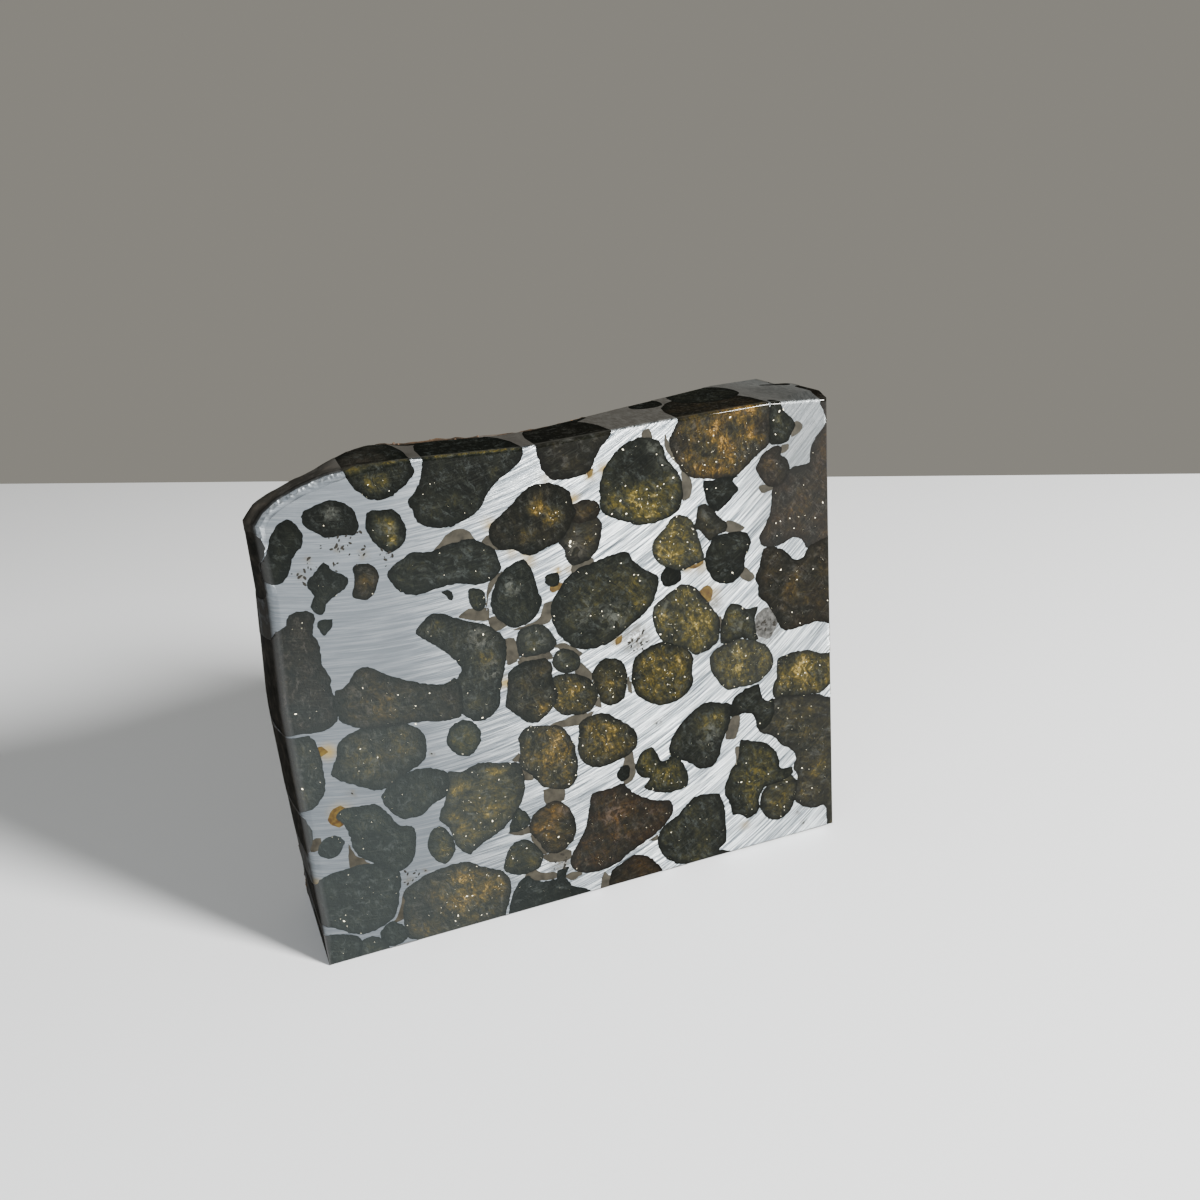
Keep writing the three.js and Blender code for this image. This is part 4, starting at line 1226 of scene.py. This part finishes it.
# Noises are scale, detail and roughness; spreads are from low and high to least and most
olivineLook = {
    "sockets": {"Roughness": 0.4, "Coat Weight": 0.04, "Coat Roughness": 0.05, "Specular IOR Level": 0.0},
    "crystalTurn": 1.4,
    "crystalShift": 60.0,
    "crystalFineness": -0.35,
    "wander": (0.9, 3.0),
    "fibreStretch": (3.0, 1.6, 1.0),
    "patchNoise": (0.55, 3.0),
    "fibreNoise": (1.0, 5.0, 0.6),
    "grainNoise": (4.5, 4.0, 0.65),
    "darkEdge": (0.0, 0.8, 0.1, 1.0),
    "patchLight": (0.35, 0.65, 0.35, 1.4),
    "fibreLight": (0.32, 0.66, 0.3, 1.5),
    "grainLight": (0.3, 0.7, 0.4, 1.5),
    "chips": {2.2: (0.0, 1.0, 0.65, 1.25), 6.0: (0.0, 1.0, 0.75, 1.2)},
    "crumbSize": 8.0,
    "crumbLight": (0.9, 1.0, 0.0, 0.5),
    "crumbsWhereClear": (0.0, 0.7, 0.25, 1.0),
    "colours": [(0.0, (0.0022, 0.0027, 0.0023)), (0.10, (0.0060, 0.0068, 0.0052)),
                (0.28, (0.0130, 0.0130, 0.0066)), (0.55, (0.0285, 0.0243, 0.0072)),
                (0.8, (0.048, 0.0368, 0.0082)), (1.0, (0.125, 0.097, 0.029))],
    "hazeStretch": (2.2, 1.5, 1.4),
    "hazeNoise": (1.0, 6.0, 0.8),
    "haze": (0.52, 0.72, 0.0, 0.9),
    "hazeColour": (0.0240, 0.0275, 0.0265, 1),
    "flakeSize": 2.4,
    "flakes": (0.35, 1.0, 0.0, 1.0),
    "flakeGrain": (0.35, 0.65, 0.2, 1.0),
    "paleColour": (0.050, 0.053, 0.046, 1),
    "redPatches": (0.35, 0.6, 0.4, 1.0),
    "redTint": (1.2, 0.66, 0.5, 1),
    "crackSize": 0.8,
    "cracks": (0.0, 0.05, 0.45, 0.0),
    "crackColour": (0.003, 0.003, 0.002, 1),
    "reflectionColour": (0.0125, 0.0150, 0.0155, 1),
    "sawStretch": (0.35, 1.0, 11.0),
    "sawNoise": (1.0, 3.0, 0.6),
    "sawLines": (0.56, 0.7, 0.0, 0.65),
    "sawColour": (0.0100, 0.0105, 0.0085, 1),
    "crustCover": (0.4, 0.55, 0.55, 1.0),
    "crustRoughness": (0.0, 1.0, 0.4, 0.8),
    "bevelCoat": (0.0, 1.0, 0.04, 0.8),
    "bump": (0.6, 0.0002),
}


def olivineMaterial():
    look = olivineLook
    material, tree, shader = newMaterial("olivine", look["sockets"])
    seed = attributeOf(tree, "seed")
    turned = turnedBy(tree, placeOf(tree), times(tree, seed, look["crystalTurn"]))
    shift = makeNode(tree, "ShaderNodeCombineXYZ", links={"X": times(tree, seed, look["crystalShift"])})
    coarseness = calculate(tree, "ADD", times(tree, seed, look["crystalFineness"]), 1.0)
    place = makeNode(tree, "ShaderNodeVectorMath",
                     links={0: addVectors(tree, turned, shift.outputs[0]), "Scale": coarseness},
                     operation="SCALE").outputs[0]
    scale, detail = look["wander"]
    wander = makeNode(tree, "ShaderNodeTexNoise", {"Scale": scale, "Detail": detail}, {"Vector": place})
    bent = addVectors(tree, place, wander.outputs["Color"])
    fibrePlace = stretched(tree, bent, look["fibreStretch"])
    patch = noiseOf(tree, place, *look["patchNoise"])
    fibre = noiseOf(tree, fibrePlace, *look["fibreNoise"])
    grain = noiseOf(tree, bent, *look["grainNoise"])
    edge = spread(tree, attributeOf(tree, "edge"), *look["darkEdge"])
    light = times(tree, attributeOf(tree, "glow"), edge)
    for value, name in ((patch, "patchLight"), (fibre, "fibreLight"), (grain, "grainLight")):
        light = times(tree, light, spread(tree, value, *look[name]))
    for size, chipLight in look["chips"].items():
        light = times(tree, light, spread(tree, cellsOf(tree, bent, size), *chipLight))
    # single bright crumbs, most of them where the crystal is clear
    crumbs = times(tree, spread(tree, cellsOf(tree, bent, look["crumbSize"]), *look["crumbLight"]), edge,
                   spread(tree, attributeOf(tree, "glow"), *look["crumbsWhereClear"]))
    light = calculate(tree, "ADD", light, times(tree, crumbs, patch), clamp=True)
    colour = rampOf(tree, light, look["colours"])
    # a grey haze of fine breaks under the polish
    breaks = noiseOf(tree, stretched(tree, bent, look["hazeStretch"]), *look["hazeNoise"])
    haze = times(tree, spread(tree, breaks, *look["haze"]), edge)
    colour = tinted(tree, haze, colour, look["hazeColour"], "ADD")
    # broken glassy parts
    flakes = times(tree, spread(tree, cellsOf(tree, bent, look["flakeSize"]), *look["flakes"]),
                   spread(tree, grain, *look["flakeGrain"]))
    pale = times(tree, attributeOf(tree, "pale"), flakes, edge)
    colour = mixColours(tree, pale, colour, look["paleColour"])
    reddish = times(tree, attributeOf(tree, "red"), spread(tree, patch, *look["redPatches"]))
    colour = tinted(tree, reddish, colour, look["redTint"], "MULTIPLY")
    cracks = makeNode(tree, "ShaderNodeTexVoronoi", {"Scale": look["crackSize"]}, {"Vector": fibrePlace},
                      feature="DISTANCE_TO_EDGE").outputs["Distance"]
    colour = mixColours(tree, spread(tree, cracks, *look["cracks"]), colour, look["crackColour"])
    # painted reflection: the polish mirrors more light towards the lower left
    colour = tinted(tree, attributeOf(tree, "lowerLeftReflection"), colour, look["reflectionColour"], "ADD")
    # faint lines of the saw
    straight = placeOf(tree)
    across = makeNode(tree, "ShaderNodeSeparateXYZ", links={"Vector": straight}).outputs["X"]
    linePlace = stretched(tree, sawTurned(tree, straight, across), look["sawStretch"])
    lines = spread(tree, noiseOf(tree, linePlace, *look["sawNoise"]), *look["sawLines"])
    colour = tinted(tree, times(tree, lines, edge), colour, look["sawColour"], "ADD")
    colour, natural = crustOn(tree, colour, straight, look["crustCover"])
    coat = spread(tree, attributeOf(tree, "bevel"), *look["bevelCoat"])
    tree.links.new(colour, shader.inputs["Base Color"])
    tree.links.new(spread(tree, natural, *look["crustRoughness"]), shader.inputs["Roughness"])
    tree.links.new(coat, shader.inputs["Coat Weight"])
    tree.links.new(bumpOf(tree, grain, *look["bump"]), shader.inputs["Normal"])
    return material


metalLook = {
    "sockets": {"Metallic": 1.0, "Roughness": 0.3, "Specular IOR Level": 0.1},
    "streakStretch": (0.12, 1.0, 3.6),
    "streakNoise": (1.0, 4.0, 0.6),
    "scratchStretch": (0.2, 1.0, 9.0),
    "scratchNoise": (1.0, 5.0, 0.7),
    "cloudNoise": (0.25, 4.0),
    "scratchAndSheenColours": [(0.38, (0.11, 0.13, 0.14)), (0.46, (0.44, 0.48, 0.50)),
                       (0.53, (0.82, 0.87, 0.90)), (0.60, (0.95, 0.99, 1.0))],
    "streakAndSheenColours": [(0.38, (0.26, 0.28, 0.30)), (0.48, (0.60, 0.62, 0.64)), (0.58, (1.0, 1.0, 1.0))],
    "calmAndShadedLeft": (-15.0, 7.0, 0.92, 0.0),
    "leftShadeColour": (0.125, 0.140, 0.155, 1),
    "cornerShadeAcross": (15.5, 20.5),
    "cornerShadeUp": (29.0, 36.0, 0.0, 0.82),
    "cornerShadeColour": (0.150, 0.162, 0.168, 1),
    "shade": 0.85,
    "shadeColour": (0.13, 0.12, 0.105, 1),
    "rustClouds": (0.3, 0.6, 0.4, 1.0),
    "rustColour": (0.17, 0.125, 0.045, 1),
    "mottleNoise": (3.5, 4.0),
    "dullAndShadeMottle": (0.4, 0.55, 0.3, 1.0),
    "dullAndShadeColour": (0.13, 0.125, 0.11, 1),
    "crustCover": (0.35, 0.5, 0.8, 1.0),
    "rustCover": 0.7,
    "metallic": (0.0, 1.0, 1.0, 0.05),
    "scratchRoughness": (0.3, 0.7, 0.1, -0.05),
    "calmRoughness": (0.0, 0.92, 0.38, 0.33),
    "coveredRoughness": 0.75,
    "scratchHeight": 0.7,
    "calmHeight": (0.0, 0.92, 1.0, 0.07),
    "topHeight": (0.0, 1.0, 1.0, 0.1),
    "dentNoise": (0.8, 2.0),
    "dentHeight": 4.5,
    "bump": (0.9, 0.00018),
}


def metalMaterial():
    look = metalLook
    material, tree, shader = newMaterial("nickelIron", look["sockets"])
    place = placeOf(tree)
    axes = makeNode(tree, "ShaderNodeSeparateXYZ", links={"Vector": place}).outputs
    across, up = axes["X"], axes["Z"]
    turned = sawTurned(tree, place, across)
    streaks = noiseOf(tree, stretched(tree, turned, look["streakStretch"]), *look["streakNoise"])
    scratches = noiseOf(tree, stretched(tree, turned, look["scratchStretch"]), *look["scratchNoise"])
    clouds = noiseOf(tree, place, *look["cloudNoise"])
    # saw scratches and streaks, with painted sheen: their light and dark lines stand in for reflections
    colour = rampOf(tree, scratches, look["scratchAndSheenColours"])
    colour = mixColours(tree, 1.0, colour, rampOf(tree, streaks, look["streakAndSheenColours"]), "MULTIPLY")
    # painted shade: darker metal on the left, which also has fewer saw marks
    calmAndShadedLeft = spread(tree, across, *look["calmAndShadedLeft"])
    # painted shade: greyer towards the upper right corner
    corner = times(tree, spread(tree, across, *look["cornerShadeAcross"]), spread(tree, up, *look["cornerShadeUp"]))
    shade = times(tree, attributeOf(tree, "shade"), look["shade"])
    rust = calculate(tree, "MULTIPLY", attributeOf(tree, "rust"), spread(tree, clouds, *look["rustClouds"]),
                     clamp=True)
    mottle = noiseOf(tree, place, *look["mottleNoise"])
    dullAndEdgeShade = calculate(tree, "MULTIPLY", attributeOf(tree, "dullAndEdgeShade"), spread(tree, mottle, *look["dullAndShadeMottle"]),
                     clamp=True)
    for share, name in ((calmAndShadedLeft, "leftShadeColour"), (corner, "cornerShadeColour"), (shade, "shadeColour"),
                        (rust, "rustColour"), (dullAndEdgeShade, "dullAndShadeColour")):
        colour = mixColours(tree, share, colour, look[name])
    colour, natural = crustOn(tree, colour, place, look["crustCover"])
    covered = calculate(tree, "MAXIMUM", natural, times(tree, rust, look["rustCover"]))
    roughness = calculate(tree, "ADD", spread(tree, scratches, *look["scratchRoughness"]),
                          spread(tree, calmAndShadedLeft, *look["calmRoughness"]))
    roughness = calculate(tree, "MAXIMUM", roughness, times(tree, covered, look["coveredRoughness"]))
    # saw marks, gone on the left and on top, and dents in the bevel of the upper left
    height = calculate(tree, "ADD", streaks, times(tree, scratches, look["scratchHeight"]))
    height = times(tree, height, spread(tree, calmAndShadedLeft, *look["calmHeight"]),
                   spread(tree, attributeOf(tree, "topside"), *look["topHeight"]))
    dents = times(tree, noiseOf(tree, place, *look["dentNoise"]), attributeOf(tree, "dented"),
                  look["dentHeight"])
    height = calculate(tree, "ADD", height, dents)
    tree.links.new(colour, shader.inputs["Base Color"])
    tree.links.new(spread(tree, covered, *look["metallic"]), shader.inputs["Metallic"])
    tree.links.new(roughness, shader.inputs["Roughness"])
    tree.links.new(bumpOf(tree, height, *look["bump"]), shader.inputs["Normal"])
    return material


troiliteLook = {
    "sockets": {"Roughness": 0.5, "Specular IOR Level": 0.12},
    "noise": (1.6, 4.0),
    "colours": [(0.3, (0.014, 0.0128, 0.0095)), (0.7, (0.034, 0.0305, 0.0225))],
}
stainLook = {
    "sockets": {"Roughness": 0.6, "Specular IOR Level": 0.15},
    "noise": (2.2, 4.0),
    "colours": [(0.35, (0.026, 0.013, 0.003)), (0.65, (0.066, 0.044, 0.008))],
}
greyStoneLook = {
    "sockets": {"Roughness": 0.55, "Specular IOR Level": 0.2},
    "noise": (2.6, 5.0, 0.7),
    "colours": [(0.36, (0.009, 0.009, 0.008)), (0.48, (0.028, 0.028, 0.026)),
                (0.62, (0.062, 0.061, 0.058))],
    "bump": (0.5, 0.0001),
}


def mottledMaterial(name, look):
    # one noise through a ramp of colours
    material, tree, shader = newMaterial(name, look["sockets"])
    tone = noiseOf(tree, placeOf(tree), *look["noise"])
    tree.links.new(rampOf(tree, tone, look["colours"]), shader.inputs["Base Color"])
    if "bump" in look:
        tree.links.new(bumpOf(tree, tone, *look["bump"]), shader.inputs["Normal"])
    return material


olivine.data.materials.append(olivineMaterial())
nickelIron.data.materials.append(metalMaterial())
inlays["troiliteFilms"].data.materials.append(mottledMaterial("troilite", troiliteLook))
inlays["rustStains"].data.materials.append(mottledMaterial("rustStain", stainLook))
inlays["greyStone"].data.materials.append(mottledMaterial("greyStone", greyStoneLook))
print("materials made")

# Glints in the crystals: x, z, radius of the larger ones, read one by one
glints = [
    (0.1, 33.75, 0.24), (0.05, 33.4, 0.2), (5.4, 40.8, 0.16), (8.4, 39.95, 0.1), (9.9, 39.4, 0.1),
    (8.85, 38.95, 0.1), (9.8, 37.7, 0.16), (5.4, 37.7, 0.1), (7.3, 37.1, 0.1), (8.3, 37.2, 0.1),
    (8.9, 37.3, 0.1), (4.85, 36.5, 0.15), (5.3, 35.3, 0.15), (7.3, 35.85, 0.1), (9.6, 36.0, 0.1),
    (3.5, 35.35, 0.15), (4.0, 35.5, 0.12), (4.5, 31.05, 0.1), (1.3, 30.75, 0.1), (5.6, 29.8, 0.1),
    (6.0, 29.7, 0.1), (6.1, 29.15, 0.1), (11.4, 32.85, 0.1), (10.8, 31.8, 0.1), (8.25, 32.3, 0.1),
    (9.9, 34.25, 0.1), (15.4, 42.1, 0.17), (15.8, 42.5, 0.12), (20.15, 41.95, 0.16),
    (20.55, 42.05, 0.14), (19.55, 41.25, 0.1), (19.7, 40.0, 0.1), (24.45, 42.3, 0.17),
    (13.75, 40.75, 0.1), (12.8, 38.35, 0.1), (13.9, 38.45, 0.1), (12.9, 36.2, 0.1),
    (13.75, 36.15, 0.1), (24.3, 33.1, 0.15), (20.9, 32.2, 0.1), (19.5, 32.0, 0.1), (19.95, 32.1, 0.1),
    (23.5, 31.8, 0.1), (21.3, 31.2, 0.1), (-24.2, 23.75, 0.16), (-18.65, 24.75, 0.1),
    (-24.7, 17.15, 0.16), (-19.6, 19.5, 0.1), (-18.3, 18.4, 0.1), (-15.9, 23.5, 0.1),
    (-14.6, 22.2, 0.1), (-13.3, 23.05, 0.1), (-8.2, 27.2, 0.15), (-3.95, 24.95, 0.1),
    (-1.9, 27.55, 0.1), (-1.15, 22.8, 0.1), (-0.55, 20.75, 0.1), (-9.1, 19.8, 0.15),
    (-14.8, 20.6, 0.15), (-0.4, 15.0, 0.1), (0.2, 20.5, 0.1), (7.9, 20.4, 0.1), (9.8, 19.3, 0.1),
    (8.1, 18.95, 0.1), (2.6, 19.65, 0.1), (2.8, 18.95, 0.1), (7.3, 25.55, 0.1), (9.4, 26.75, 0.1),
    (9.45, 27.75, 0.1), (11.2, 27.35, 0.1), (12.2, 25.4, 0.1), (7.7, 23.85, 0.15), (1.35, 26.9, 0.1),
    (2.4, 27.1, 0.1), (3.4, 25.45, 0.1), (15, 28.2, 0.15), (15.85, 24.65, 0.1), (16.3, 23.6, 0.15),
    (19.85, 27.55, 0.15), (23.2, 27.0, 0.1), (21.5, 26.3, 0.1), (24.65, 23.65, 0.1),
    (20.9, 23.25, 0.1), (21.7, 22.0, 0.1), (16.0, 20.0, 0.1), (22.1, 16.95, 0.1), (23.7, 17.35, 0.1),
    (-23.2, 4.05, 0.16), (-13.4, 1.5, 0.16), (-13.7, 1.05, 0.12), (-9.3, 9.9, 0.16), (-11.8, 9.1, 0.1),
    (-8.3, 13.7, 0.1), (-1.3, 12.3, 0.1), (-2.0, 11.6, 0.1), (-3.45, 6.65, 0.15), (-7.85, 5.7, 0.1),
    (-6.5, 6.35, 0.1), (-9.3, 4.35, 0.1), (-12.4, 3.2, 0.16), (-11.9, 3.1, 0.12), (-11.3, 0.9, 0.1),
    (7.5, 4.0, 0.1), (15.6, 9.15, 0.1), (15, 7.3, 0.14), (17.9, 7.4, 0.1), (21.55, 7.1, 0.15),
    (19.85, 6.05, 0.1), (19.5, 3.45, 0.1), (22.6, 4.65, 0.1), (17.2, 12.9, 0.1), (18.7, 5.8, 0.1),
]
# Dark specks in the metal, and clouds of them: x, z, reach, count
specks = [
    (6.8, 15.4, 0.13), (7.2, 15.5, 0.1), (-20.8, 15.7, 0.14), (-13.8, 17.6, 0.12), (-17.6, 6.2, 0.13),
    (-16.6, 6.4, 0.1), (-15.7, 6.8, 0.12), (21.6, 1.1, 0.15), (20.9, 2.5, 0.1), (-17.0, 35.8, 0.18),
    (-18.9, 36.6, 0.14), (-21.3, 36.2, 0.15), (-22.0, 35.0, 0.13), (6.0, 24.3, 0.16),
    (5.1, 22.9, 0.12), (5.8, 23.3, 0.1), (-15.2, 36.0, 0.1), (-18.1, 36.0, 0.12), (-20.2, 36.9, 0.1),
    (-14.9, 35.2, 0.1),
]
speckClouds = [
    (-18.2, 36.3, 2.2, 34), (-21.6, 35.4, 1.2, 16), (-15.2, 35.3, 0.9, 10), (5.6, 23.7, 1.0, 16),
    (-3.4, 4.0, 0.9, 12), (18.2, 22.4, 1.0, 14), (-16.8, 6.4, 1.2, 8),
]
scatter = {
    "glintsPerArea": 0.25,
    "glintGlowShare": 4.5,
    "glintArea": ((-24.0, 0.5), (24.4, 41.5)),
    "glintTopGap": 0.4,
    "glintRadius": (0.014, 0.05),
    "glintShrink": 0.66,
    "glintFlatness": 0.25,
    "glintLook": {"Base Color": (0.88, 0.82, 0.62, 1), "Roughness": 0.25},
    "chipWidth": 0.55,
    "chipLean": ((-0.1, 0.0, -0.1), (0.1, 3.1, 0.1)),
    "chipSeed": 5,
    "cloudTurn": 6.3,
    "cloudThinning": 0.6,
    "speckRadius": (0.07, 0.22),
    "speckFlatness": 0.06,
    "speckLook": {"Base Color": (0.012, 0.011, 0.009, 1), "Roughness": 0.7, "Specular IOR Level": 0.1},
    "grainDensity": 1100000.0,
    "grainRadius": (0.00004, 0.00016),
    "grainFrom": 0.6,
    "grainLook": {
        "sockets": {"Roughness": 0.85},
        "noise": (2.5, 4.0),
        "colours": [(0.35, (0.03, 0.02, 0.015)), (0.55, (0.09, 0.05, 0.025)), (0.7, (0.2, 0.12, 0.05))],
    },
    "seed": 7,
}


def insideOutline(outline, points):
    x, z = outline.T
    nextX, nextZ = np.roll(x, -1), np.roll(z, -1)
    px, pz = points[:, :1], points[:, 1:]
    crosses = ((z > pz) != (nextZ > pz)) & (px < (nextX - x) * (pz - z) / (nextZ - z + 1e-12) + x)
    return crosses.sum(1) % 2 == 1


def glintPlaces():
    # the glints read one by one, then small ones that are denser where a crystal is clear
    dice = np.random.default_rng(scatter["seed"])
    places = [(x, z, radius * scatter["glintShrink"]) for x, z, radius in glints]
    most = scatter["glintsPerArea"] + scatter["glintGlowShare"]
    smallest = scatter["glintRadius"][0]
    for name in names:
        glow, red, outline = crystals[name]
        outline = np.array(outline, float)
        low = np.maximum(outline.min(0), scatter["glintArea"][0])
        high = np.minimum(outline.max(0), scatter["glintArea"][1])
        size = np.maximum(high - low, 0)
        spots = low + size * dice.random((int(np.prod(size) * most), 2))
        spots = spots[insideOutline(outline, spots)]
        lit = litGlow(np.stack([spots[:, 0], 0 * spots[:, 0], spots[:, 1]], 1), glow)
        wanted = scatter["glintsPerArea"] + scatter["glintGlowShare"] * lit**2
        spots = spots[dice.random(len(spots)) * most < wanted]
        radii = smallest + np.ptp(scatter["glintRadius"]) * dice.random(len(spots)) ** 3
        places += [(x, z, radius) for (x, z), radius in zip(spots, radii)]
    places = np.array(places)
    inside = places[:, 1] < between(stone["top"], places[:, 0]) - scatter["glintTopGap"]
    return places[inside]


def speckPlaces():
    # dark pits in the metal: listed one by one, and small ones round the worn upper left
    dice = np.random.default_rng(scatter["seed"] + 1)
    places = list(specks)
    for x, z, reach, count in speckClouds:
        turn = dice.random(count) * scatter["cloudTurn"]
        far = dice.random(count) ** scatter["cloudThinning"] * reach
        radius = scatter["speckRadius"][0] + np.ptp(scatter["speckRadius"]) * dice.random(count)
        places += list(zip(x + far * np.cos(turn), z + far * np.sin(turn), radius))
    places = np.array(places)
    inCrystal = np.zeros(len(places), bool)
    for glow, red, outline in crystals.values():
        inCrystal |= insideOutline(np.array(outline, float), places[:, :2])
    return places[~inCrystal]


def pointMesh(name, places):
    points = np.stack([places[:, 0], np.zeros(len(places)), places[:, 1]], 1)
    mesh = meshFrom(name, placed(points), [(0, 1, 2)])
    setAttribute(mesh, "size", places[:, 2] * mm)
    return mesh


def newTree(name, sockets):
    tree = bpy.data.node_groups.new(name, "GeometryNodeTree")
    for way in ("INPUT", "OUTPUT"):
        tree.interface.new_socket("Geometry", in_out=way, socket_type="NodeSocketGeometry")
    for socket, kind in sockets.items():
        tree.interface.new_socket(socket, in_out="INPUT", socket_type="NodeSocket" + kind)
    return tree, tree.nodes.new("NodeGroupInput").outputs, tree.nodes.new("NodeGroupOutput")


def endTree(tree, start, end, shape):
    realised = makeNode(tree, "GeometryNodeRealizeInstances", links={"Geometry": shape})
    painted = makeNode(tree, "GeometryNodeSetMaterial",
                       links={"Geometry": realised.outputs[0], "Material": start["Material"]})
    tree.links.new(painted.outputs[0], end.inputs["Geometry"])


def grainTree():
    # crumbs of rust scattered over the surface that wasn't sawn
    tree, start, end = newTree("rustGrains", {"Density": "Float", "Smallest": "Float", "Largest": "Float",
                                              "From": "Float", "Seed": "Int", "Material": "Material"})
    rough = makeNode(tree, "GeometryNodeInputNamedAttribute", {"Name": "rough"}, data_type="FLOAT")
    chosen = makeNode(tree, "FunctionNodeCompare",
                      links={"A": rough.outputs["Attribute"], "B": start["From"]},
                      data_type="FLOAT", operation="GREATER_THAN")
    spots = makeNode(tree, "GeometryNodeDistributePointsOnFaces",
                     links={"Mesh": start["Geometry"], "Selection": chosen.outputs["Result"],
                            "Density": start["Density"], "Seed": start["Seed"]})
    size = makeNode(tree, "FunctionNodeRandomValue",
                    links={2: start["Smallest"], 3: start["Largest"], "Seed": start["Seed"]},
                    data_type="FLOAT")
    ball = makeNode(tree, "GeometryNodeMeshIcoSphere", {"Radius": 1.0, "Subdivisions": 1})
    crumbs = makeNode(tree, "GeometryNodeInstanceOnPoints",
                      links={"Points": spots.outputs["Points"], "Instance": ball.outputs["Mesh"],
                             "Rotation": spots.outputs["Rotation"], "Scale": size.outputs[1]})
    endTree(tree, start, end, crumbs.outputs[0])
    return tree


def chipTree():
    # a flat little chip on each point, as large as its size attribute says
    tree, start, end = newTree("flatChips", {"Flatness": "Float", "Width": "Float", "Seed": "Int",
                                             "Material": "Material"})
    size = makeNode(tree, "GeometryNodeInputNamedAttribute", {"Name": "size"}, data_type="FLOAT")
    length = size.outputs["Attribute"]
    scale = makeNode(tree, "ShaderNodeCombineXYZ",
                     links={"X": length, "Y": calculate(tree, "MULTIPLY", length, start["Flatness"]),
                            "Z": calculate(tree, "MULTIPLY", length, start["Width"])})
    least, most = scatter["chipLean"]
    turn = makeNode(tree, "FunctionNodeRandomValue", {0: least, 1: most}, {"Seed": start["Seed"]},
                    data_type="FLOAT_VECTOR")
    ball = makeNode(tree, "GeometryNodeMeshIcoSphere", {"Radius": 1.0, "Subdivisions": 2})
    chips = makeNode(tree, "GeometryNodeInstanceOnPoints",
                     links={"Points": start["Geometry"], "Instance": ball.outputs["Mesh"],
                            "Rotation": turn.outputs[0], "Scale": scale.outputs[0]})
    endTree(tree, start, end, chips.outputs[0])
    return tree


def grown(name, mesh, tree, inputs):
    # runs the node tree once and keeps its result as a plain mesh
    source = sceneObject(name + "Source", mesh)
    change = source.modifiers.new("nodes", "NODES")
    change.node_group = tree
    sockets = {item.name: item.identifier for item in tree.interface.items_tree if item.in_out == "INPUT"}
    for socket, value in inputs.items():
        change[sockets[socket]] = value
    source.update_tag()
    result = bpy.data.meshes.new_from_object(source.evaluated_get(bpy.context.evaluated_depsgraph_get()))
    bpy.data.objects.remove(source)
    result.name = name
    piece = sceneObject(name, result)
    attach(piece, "root")
    print(name, len(result.polygons), "faces")


def growChips(name, places, kind):
    inputs = {"Flatness": scatter[kind + "Flatness"], "Width": scatter["chipWidth"],
              "Seed": scatter["chipSeed"], "Material": newMaterial(kind, scatter[kind + "Look"])[0]}
    grown(name, pointMesh(kind + "s", places), chipTree(), inputs)


# painted glints: pale chips that stand in for light glinting in the crystals
growChips("crystalGlints", glintPlaces(), "glint")
growChips("metalSpecks", speckPlaces(), "speck")
mesh = movedBody(bodyPoints, bodyFaces, crustHeight)
mesh.vertices.foreach_set("co", placed(readPoints(mesh)).astype(np.float32).ravel())
setAttribute(mesh, "rough", bodyRough)
low, high = scatter["grainRadius"]
inputs = {"Density": scatter["grainDensity"], "Smallest": low, "Largest": high,
          "From": scatter["grainFrom"], "Seed": scatter["seed"],
          "Material": mottledMaterial("rustGrains", scatter["grainLook"])}
grown("rustGrains", mesh, grainTree(), inputs)

# Pale floor and soft light
studio = {
    "floorColour": (0.76, 0.78, 0.81, 1),
    "floorRoughness": 0.5,
    "floorReach": 1.2,
    "backEdge": [(-0.067, 0.234), (0.148, 0.074)],
    "worldColour": (0.43, 0.41, 0.36, 1),
    "worldStrength": 0.6,
    "lights": {
        "key": ((0.27, -0.37, 0.25), 0.12, 12.0, (1.0, 0.98, 0.94)),
        "fill": ((-0.30, -0.30, 0.28), 0.35, 1.1, (0.90, 0.95, 1.0)),
    },
    "lightsAim": (0, 0, 0.02),
}


def makeStudio():
    left, right = np.array(studio["backEdge"])
    along = (right - left) / np.hypot(*(right - left))
    toFront = np.array([along[1], -along[0]]) * studio["floorReach"]
    corners = [left - along, left - along + toFront, right + along + toFront, right + along]
    mesh = meshFrom("floor", [(*corner, 0) for corner in corners], [(0, 1, 2, 3)])
    floor = sceneObject("floor", mesh)
    look = {"Base Color": studio["floorColour"], "Roughness": studio["floorRoughness"]}
    mesh.materials.append(newMaterial("floor", look)[0])
    floor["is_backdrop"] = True
    for name, (spot, size, power, colour) in studio["lights"].items():
        data = bpy.data.lights.new(name, "AREA")
        data.shape = "DISK"
        data.size = size
        data.energy = power
        data.color = colour
        lamp = bpy.data.objects.new(name, data)
        lamp.location = spot
        aim = Vector(studio["lightsAim"]) - Vector(spot)
        lamp.rotation_euler = aim.to_track_quat("-Z", "Y").to_euler()
        bpy.context.scene.collection.objects.link(lamp)
        lamp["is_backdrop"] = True
    world = bpy.data.worlds.new("world")
    world.use_nodes = True
    setSockets(world.node_tree.nodes["Background"],
               {"Color": studio["worldColour"], "Strength": studio["worldStrength"]})
    bpy.context.scene.world = world


makeStudio()
print("studio made")

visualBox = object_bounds()
sizes = {name: [list(corner) for corner in box] for name, box in (("cad", cadBox), ("visual", visualBox))}
